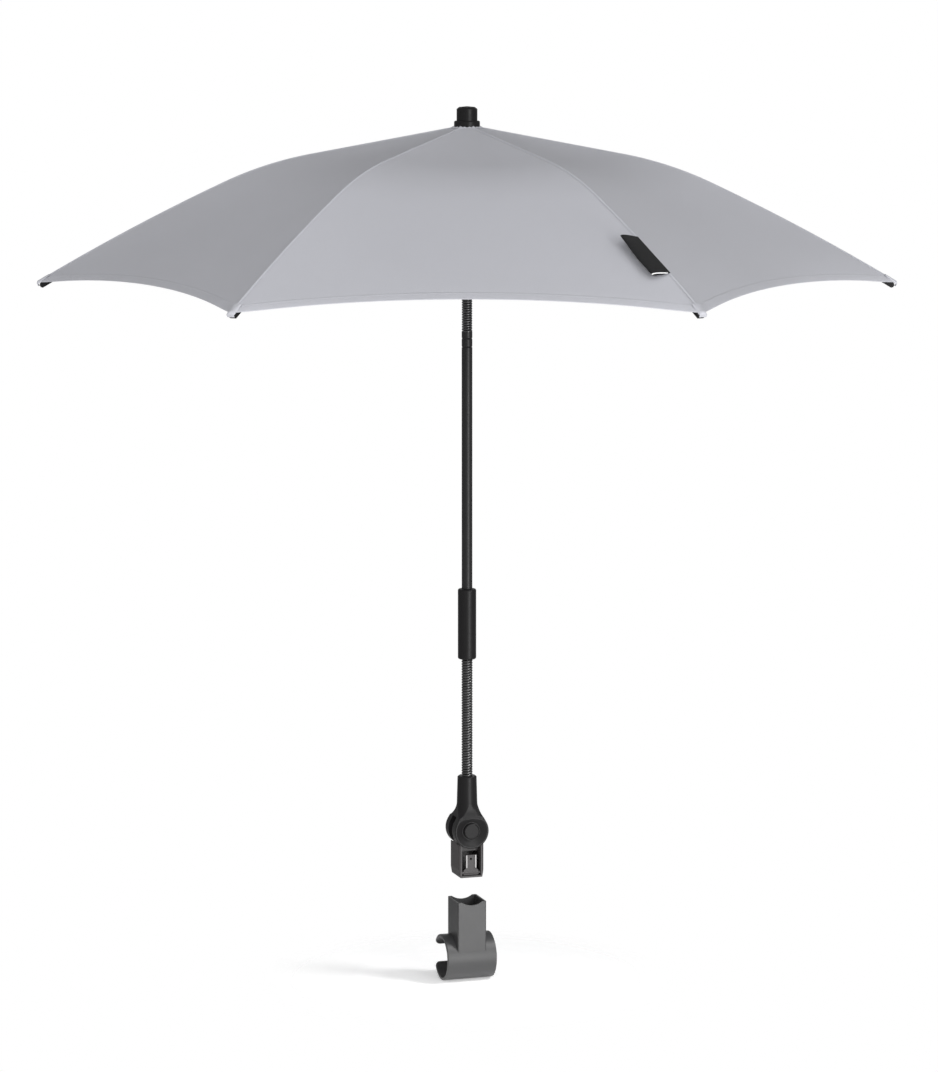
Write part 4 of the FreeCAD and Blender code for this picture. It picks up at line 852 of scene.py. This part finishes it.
class PARASOL_OT_tab(bpy.types.Operator):
    """Fold the plain black tab that is sewn into the front right seam"""

    bl_idname = "parasol.tab"
    bl_label = "Fabric tab"

    def execute(self, context):
        colours = context.scene.parasol_colours
        sizes = context.scene.parasol_tab
        webbing = woven_material("tab_weave", colours.tab, yarn=0.0006, sheen=0.05, ripple=0.6)
        # The pale colour of the cut edge is a painted highlight
        pale = moulded_material("painted_edge_highlight", colours.tab_edge_highlight, rough=0.6, grain=900.0, depth=0.00005)
        seam, along, out, normal = self.seam_axes(context.scene.parasol_canopy, sizes)

        def loop_point(length_share, turn):
            """Point of the folded tab: turn runs from the seam over the fold and back."""
            reach = sizes.width / 2 * (1 - math.cos(turn))
            gap = sizes.opening * math.sin(turn) * (1 - math.cos(turn)) / 2
            wave = TAB_WAVE * math.cos(2 * math.pi * length_share) * reach / sizes.width
            raised = sizes.lift + sizes.twist * (0.5 - length_share)
            lift = reach * math.sin(raised) + gap + wave
            slip = sizes.length * (length_share - 0.5) + sizes.skew * reach / sizes.width
            return seam + along * slip + out * (reach * math.cos(raised)) + normal * lift

        def sheet_point(row, share):
            return loop_point(row / TAB_ROWS, math.pi * (1 + share))

        tab, area = cloth_sheet("tab_cloth", TAB_ROWS, TAB_COLUMNS, sheet_point, rib_frame(1),
                                sizes.thickness, webbing)
        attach(tab, "rib_1")
        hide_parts("label_tab")
        edge = self.build_edge_highlight(loop_point, sizes, pale)
        strip = STRIP_WIDTHS * sizes.width
        min(area, strip * sizes.length)
        return {"FINISHED"}

    def seam_axes(self, canopy, sizes):
        """Middle of the tab's sewn edge, and the directions along the seam, over the panel and off it."""
        pieces, _ = rib_pieces()
        start, _, first, bend = pieces[-1]
        slope = first + (canopy.outer_length - sizes.margin - sizes.length / 2) / bend
        radius = start + bend * (math.sin(slope) - math.sin(first))
        reach, level, _ = rib_point(pieces, radius, canopy.fabric_lift + canopy.seam_height)
        along = Vector((math.cos(slope), 0, -math.sin(slope)))
        out = Vector((-math.sin(HALF_ANGLE), -math.cos(HALF_ANGLE), 0))
        out = (out - along * out.dot(along)).normalized()
        return Vector((reach, 0, level)), along, out, out.cross(along)

    def build_edge_highlight(self, loop_point, sizes, material):
        """Pale strip along the upper layer's cut lower end, coloured as a painted highlight."""
        mesh_data = bmesh.new()
        rings = []
        for step in range(EDGE_STEPS + 1):
            turn = math.pi * (EDGE_START + EDGE_RUN * step / EDGE_STEPS)
            centre = loop_point(1.0, turn)
            ahead = (loop_point(1.0, turn + EDGE_AHEAD) - centre).normalized()
            facing = ahead.to_track_quat("Z", "Y").to_matrix().to_4x4()
            facing.translation = centre
            made = bmesh.ops.create_circle(mesh_data, segments=EDGE_SIDES, radius=sizes.edge / 2,
                                           matrix=facing, cap_ends=step in (0, EDGE_STEPS))
            rings.append({edge for vertex in made["verts"] for edge in vertex.link_edges})
        for ring, following in zip(rings, rings[1:]):
            bmesh.ops.bridge_loops(mesh_data, edges=list(ring | following))
        bmesh.ops.recalc_face_normals(mesh_data, faces=mesh_data.faces)
        mesh_data.transform(rib_frame(1))
        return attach(add_piece("tab_edge_highlight", mesh_data, material), "rib_1")


# Goosenecks and spring

# Points of two turns are merged where they are nearer than the wire's radius divided by this
JOIN_PART = 100


def wind(name, turns, pitch, wire, outer, place, material):
    """A wound wire with whole turns, along the third axis of a matrix; wire is its radius."""
    sizes = bpy.context.scene.parasol_necks
    one_turn = bmesh.new()
    start = Matrix.Translation((outer - wire, 0, 0)) @ Matrix.Rotation(math.pi / 2, 4, "X")
    made = bmesh.ops.create_circle(one_turn, segments=sizes.sides, radius=wire, matrix=start)
    section = list({edge for vertex in made["verts"] for edge in vertex.link_edges})
    bmesh.ops.spin(one_turn, geom=section, cent=(0, 0, 0), axis=UP, dvec=UP * (pitch / sizes.steps),
                   angle=2 * math.pi, steps=sizes.steps)
    laid = bpy.data.meshes.new("turn")
    one_turn.to_mesh(laid)
    one_turn.free()
    mesh_data = bmesh.new()
    for _ in range(turns):
        mesh_data.from_mesh(laid)
        laid.transform(Matrix.Translation(UP * pitch))
    bpy.data.meshes.remove(laid)
    bmesh.ops.remove_doubles(mesh_data, verts=mesh_data.verts, dist=wire / JOIN_PART)
    rims = [edge for edge in mesh_data.edges if edge.is_boundary]
    bmesh.ops.holes_fill(mesh_data, edges=rims, sides=0)
    mesh_data.transform(place)
    bmesh.ops.recalc_face_normals(mesh_data, faces=mesh_data.faces)
    return add_piece(name, mesh_data, material)


class PARASOL_OT_goosenecks(bpy.types.Operator):
    """Wind the lower and the upper gooseneck between their holders"""

    bl_idname = "parasol.goosenecks"
    bl_label = "Goosenecks"

    def execute(self, context):
        sizes = context.scene.parasol_necks
        plating = steel_material("neck_plating", context.scene.parasol_colours.plating)
        plans = (("lower", sizes.lower_turns, "fork", "shaft", "fork", "sleeve"),
                 ("upper", sizes.upper_turns, "shaft", "mast", "shaft_tube", "mast"))
        for which, turns, below, above, holder, next_holder in plans:
            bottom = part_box(holder)[1].z
            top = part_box(next_holder)[0].z
            low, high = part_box(f"{which}_gooseneck")
            pitch = (top - bottom + 2 * sizes.seat) / turns
            wire = pitch * sizes.fullness / 2
            place = Matrix.Translation(STEM + UP * (bottom - sizes.seat))
            neck = wind(f"{which}_neck", turns, pitch, wire, (high.x - low.x) / 2, place, plating)
            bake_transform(neck)
            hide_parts(f"{which}_gooseneck", f"{which}_core")
        return {"FINISHED"}


class PARASOL_OT_button_spring(bpy.types.Operator):
    """Wind the spring behind the release button and hang it on the fork's body"""

    bl_idname = "parasol.button_spring"
    bl_label = "Button spring"

    def execute(self, context):
        sizes = context.scene.parasol_necks
        low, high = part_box("button_spring")
        wire = sizes.spring_wire / 2
        length = high.y - low.y
        pitch = (length - 2 * wire) / sizes.spring_turns
        foot = Vector(((low.x + high.x) / 2, high.y - wire, (low.z + high.z) / 2))
        place = Matrix.Translation(foot) @ Matrix.Rotation(math.pi / 2, 4, "X")
        steel = steel_material("spring_steel", context.scene.parasol_colours.steel)
        spring = wind("spring_coil", sizes.spring_turns, pitch, wire, (high.x - low.x) / 2, place, steel)
        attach(spring, "fork")
        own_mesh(spring)
        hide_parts("button_spring")
        return {"FINISHED"}


# Latch


class PARASOL_OT_latch_rail_highlights(bpy.types.Operator):
    """Lay pale bands of painted highlight on the two rails of the plug's spring latch"""

    bl_idname = "parasol.latch_edges"
    bl_label = "Latch rail highlights"

    def execute(self, context):
        sizes = context.scene.parasol_latch
        low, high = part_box("latch_tongue")
        foot = low.z + sizes.rail_foot
        shape = Matrix.Diagonal((sizes.rail_width, 2 * sizes.rail_rise, high.z - foot, 1.0))
        mesh_data = bmesh.new()
        for side, _ in SIDES:
            middle = Vector((side * sizes.rail_place, low.y, (foot + high.z) / 2))
            made = bmesh.ops.create_cube(mesh_data, size=1.0, matrix=Matrix.Translation(middle) @ shape)
            edges = list({edge for vertex in made["verts"] for edge in vertex.link_edges})
            bmesh.ops.bevel(mesh_data, geom=edges, offset=sizes.rail_rise / 2, affect="EDGES", segments=2,
                            profile=0.5, material=-1)
        # The pale bands on the rails are a painted highlight
        pale = moulded_material("painted_rail_highlight", context.scene.parasol_colours.rail_highlight, rough=0.45, grain=1200.0,
                                depth=0.00003)
        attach(add_piece("latch_edges", mesh_data, pale), "latch")
        return {"FINISHED"}


# Finishes of the rigid pieces


class PARASOL_OT_finishes(bpy.types.Operator):
    """Finish the rigid pieces: mouldings, coated metal and bare steel"""

    bl_idname = "parasol.finishes"
    bl_label = "Rigid finishes"

    def execute(self, context):
        colours = context.scene.parasol_colours
        moulding = moulded_material("charcoal_moulding", colours.moulding, rough=0.4, grain=1500.0,
                                    depth=0.00003, shine=0.36)
        button = moulded_material("button_moulding", colours.moulding, rough=0.34, grain=1800.0,
                                  depth=0.00002, shine=0.2)
        clip = moulded_material("clip_moulding", colours.clip, rough=0.42, grain=1300.0,
                                depth=0.00005, shine=0.9)
        plug = moulded_material("plug_moulding", colours.plug, rough=0.42, grain=1500.0, depth=0.00003)
        coating = coated_material("shaft_coating", colours.coating, rough=0.44, coat=0.05)
        steel = steel_material("bare_steel", colours.steel)
        dress(clip, "clip")
        dress(button, "release_button")
        dress(plug, "plug", "latch_tongue")
        dress(moulding, "fork", "rear_cap", "sleeve", "tip_cap", "crown", "runner", *numbered("rib_tip"))
        dress(coating, "shaft_tube", "mast", *numbered("rib"), *numbered("stretcher"))
        dress(steel, "pivot_pin", "crown_pins", "runner_pins", "runner_catch", *numbered("stretcher_rivet"))
        return {"FINISHED"}


# Stage

# Cosines to the camera's direction between which the surrounding light grows, and the backdrop ends
AMBIENT_LEAN = (-0.3, 1.0)
BACKDROP_LEAN = (-0.98, -0.88)


def seen_rays(tree):
    """1 for rays from the camera and for mirrored and refracted ones, 0 for the rest."""
    path = tree.nodes.new("ShaderNodeLightPath")
    total = path.outputs["Is Camera Ray"]
    for name in ("Is Glossy Ray", "Is Transmission Ray"):
        larger = tree.nodes.new("ShaderNodeMath")
        larger.operation = "MAXIMUM"
        tree.links.new(total, larger.inputs[0])
        tree.links.new(path.outputs[name], larger.inputs[1])
        total = larger.outputs["Value"]
    return total


def hang_lamp(lamp, place, aim):
    """Hang a lamp at a place, so that it shines along a direction."""
    holder = bpy.data.objects.new(lamp.name, lamp)
    holder.location = place
    holder.rotation_euler = aim.to_track_quat("-Z", "Y").to_euler()
    bpy.context.scene.collection.objects.link(holder)


class PARASOL_OT_stage(bpy.types.Operator):
    """Set the pale floor, the soft light and the camera"""

    bl_idname = "parasol.stage"
    bl_label = "Stage"

    def execute(self, context):
        settings = context.scene.parasol_stage
        context.scene.view_settings.view_transform = "Standard"
        back = Vector((math.sin(settings.azimuth), -math.cos(settings.azimuth), 0))
        right = Vector((math.cos(settings.azimuth), math.sin(settings.azimuth), 0))
        self.place_camera(context.scene, settings, back, right)
        self.place_key(settings, back, right)
        self.place_side(settings, back, right)
        self.light_world(context.scene, settings, back)
        mesh_data = bmesh.new()
        bmesh.ops.create_circle(mesh_data, cap_ends=True, segments=96, radius=settings.floor_radius,
                                matrix=Matrix.Translation((0, 0, CAD_BOX[0][2] - settings.floor_gap)))
        add_piece("floor", mesh_data, self.floor_material(settings))
        return {"FINISHED"}

    def place_key(self, settings, back, right):
        """One tall soft lamp to the right of the camera."""
        aim = back * math.cos(settings.key_turn) + right * math.sin(settings.key_turn)
        lamp = bpy.data.lights.new("key", "AREA")
        lamp.shape = "RECTANGLE"
        lamp.size = settings.key_width
        lamp.size_y = settings.key_tall
        lamp.energy = settings.key_power
        hang_lamp(lamp, STEM + aim * settings.key_distance + UP * settings.key_height, -aim)

    def place_side(self, settings, back, right):
        """A lamp from the right that lights the floor round the clip and throws its shadow to the left."""
        aside, nearer, height = settings.side_place
        place = STEM + right * aside + back * nearer + UP * height
        lamp = bpy.data.lights.new("side", "SPOT")
        lamp.energy = settings.side_power
        lamp.spot_size = settings.side_cone
        lamp.spot_blend = 1.0
        lamp.shadow_soft_size = settings.side_size
        hang_lamp(lamp, place, STEM - place)

    def place_camera(self, scene, settings, back, right):
        """The photograph's camera, moved aside so that the stem meets its column."""
        lens = bpy.data.cameras.new("camera")
        lens.sensor_fit = "VERTICAL"
        lens.lens = lens.sensor_height * settings.focal / IMAGE_HEIGHT
        camera = bpy.data.objects.new("camera", lens)
        aside = (IMAGE_WIDTH / 2 - STEM_COLUMN) / settings.focal * settings.distance
        camera.location = STEM + back * settings.distance + right * aside + UP * settings.height
        camera.rotation_euler = (math.pi / 2 - settings.pitch, 0, settings.azimuth)
        scene.collection.objects.link(camera)
        scene.camera = camera

    def light_world(self, scene, settings, back):
        """Light that grows towards the camera's side, seen and mirrored as a white backdrop in a dim room."""
        world = bpy.data.worlds.new("studio")
        scene.world = world
        world.use_nodes = True
        tree = world.node_tree
        direction = tree.nodes.new("ShaderNodeTexCoord")
        around = tree.nodes["Background"]
        seen = tree.nodes.new("ShaderNodeBackground")
        eye = back * math.cos(settings.pitch) + UP * math.sin(settings.pitch)
        levels = ((around, back, AMBIENT_LEAN, (0.0, settings.ambient)),
                  (seen, eye, BACKDROP_LEAN, (1.0, settings.room)))
        for node, axis, (start, stop), (first, last) in levels:
            node.inputs["Color"].default_value = WHITE
            lean = tree.nodes.new("ShaderNodeVectorMath")
            lean.operation = "DOT_PRODUCT"
            lean.inputs[1].default_value = axis
            tree.links.new(direction.outputs["Generated"], lean.inputs[0])
            level = tree.nodes.new("ShaderNodeMapRange")
            limits = {"From Min": start, "From Max": stop, "To Min": first, "To Max": last}
            for socket, limit in limits.items():
                level.inputs[socket].default_value = limit
            tree.links.new(lean.outputs["Value"], level.inputs["Value"])
            tree.links.new(level.outputs["Result"], node.inputs["Strength"])
        mix = tree.nodes.new("ShaderNodeMixShader")
        tree.links.new(seen_rays(tree), mix.inputs["Fac"])
        tree.links.new(around.outputs["Background"], mix.inputs[1])
        tree.links.new(seen.outputs["Background"], mix.inputs[2])
        tree.links.new(mix.outputs["Shader"], tree.nodes["World Output"].inputs["Surface"])

    def floor_material(self, settings):
        """White to the camera and in mirrors, with the parasol's soft shadow kept, fading out at its rim."""
        nodes = NodeSet("pale_floor")
        nodes.set(Roughness=0.9, Base_Color=(0.9, 0.9, 0.9, 1.0), Emission_Color=WHITE)
        lift = nodes.spread(seen_rays(nodes.tree), low=0.0, high=settings.floor_lift)
        nodes.join(lift, nodes.shader.inputs["Emission Strength"])
        distance = nodes.add("ShaderNodeVectorMath", operation="LENGTH")
        nodes.join(nodes.place.outputs["Object"], distance.inputs[0])
        limits = {"From Min": settings.floor_clear, "From Max": settings.floor_radius,
                  "To Min": 1.0, "To Max": 0.0}
        fade = nodes.add("ShaderNodeMapRange", **limits)
        nodes.join(distance.outputs["Value"], fade.inputs["Value"])
        nodes.join(fade.outputs["Result"], nodes.shader.inputs["Alpha"])
        return nodes.material


class PARASOL_PT_panel(bpy.types.Panel):
    """Buttons for the parasol's pieces"""

    bl_label = "Parasol"
    bl_idname = "PARASOL_PT_panel"
    bl_space_type = "VIEW_3D"
    bl_region_type = "UI"
    bl_category = "Parasol"

    def draw(self, context):
        for operator in OPERATORS:
            self.layout.operator(operator.bl_idname)


SETTINGS = {"parasol_canopy": CanopySizes, "parasol_tab": TabSizes, "parasol_necks": NeckSizes,
            "parasol_latch": LatchSizes, "parasol_colours": FinishColours, "parasol_stage": StageSettings}
OPERATORS = (PARASOL_OT_stage, PARASOL_OT_canopy, PARASOL_OT_hub_gather, PARASOL_OT_tab,
             PARASOL_OT_goosenecks, PARASOL_OT_button_spring, PARASOL_OT_latch_rail_highlights, PARASOL_OT_finishes)


def register():
    for name, group in SETTINGS.items():
        bpy.utils.register_class(group)
        setattr(bpy.types.Scene, name, PointerProperty(type=group))
    for operator in OPERATORS:
        bpy.utils.register_class(operator)
    bpy.utils.register_class(PARASOL_PT_panel)


def unregister():
    bpy.utils.unregister_class(PARASOL_PT_panel)
    for operator in reversed(OPERATORS):
        bpy.utils.unregister_class(operator)
    for name, group in SETTINGS.items():
        delattr(bpy.types.Scene, name)
        bpy.utils.unregister_class(group)


def main():
    register()
    bpy.ops.parasol.stage()
    bpy.ops.parasol.canopy()
    bpy.ops.parasol.hub_gather()
    bpy.ops.parasol.tab()
    bpy.ops.parasol.goosenecks()
    bpy.ops.parasol.button_spring()
    bpy.ops.parasol.latch_edges()
    bpy.ops.parasol.finishes()


if __name__ == "__main__":
    main()
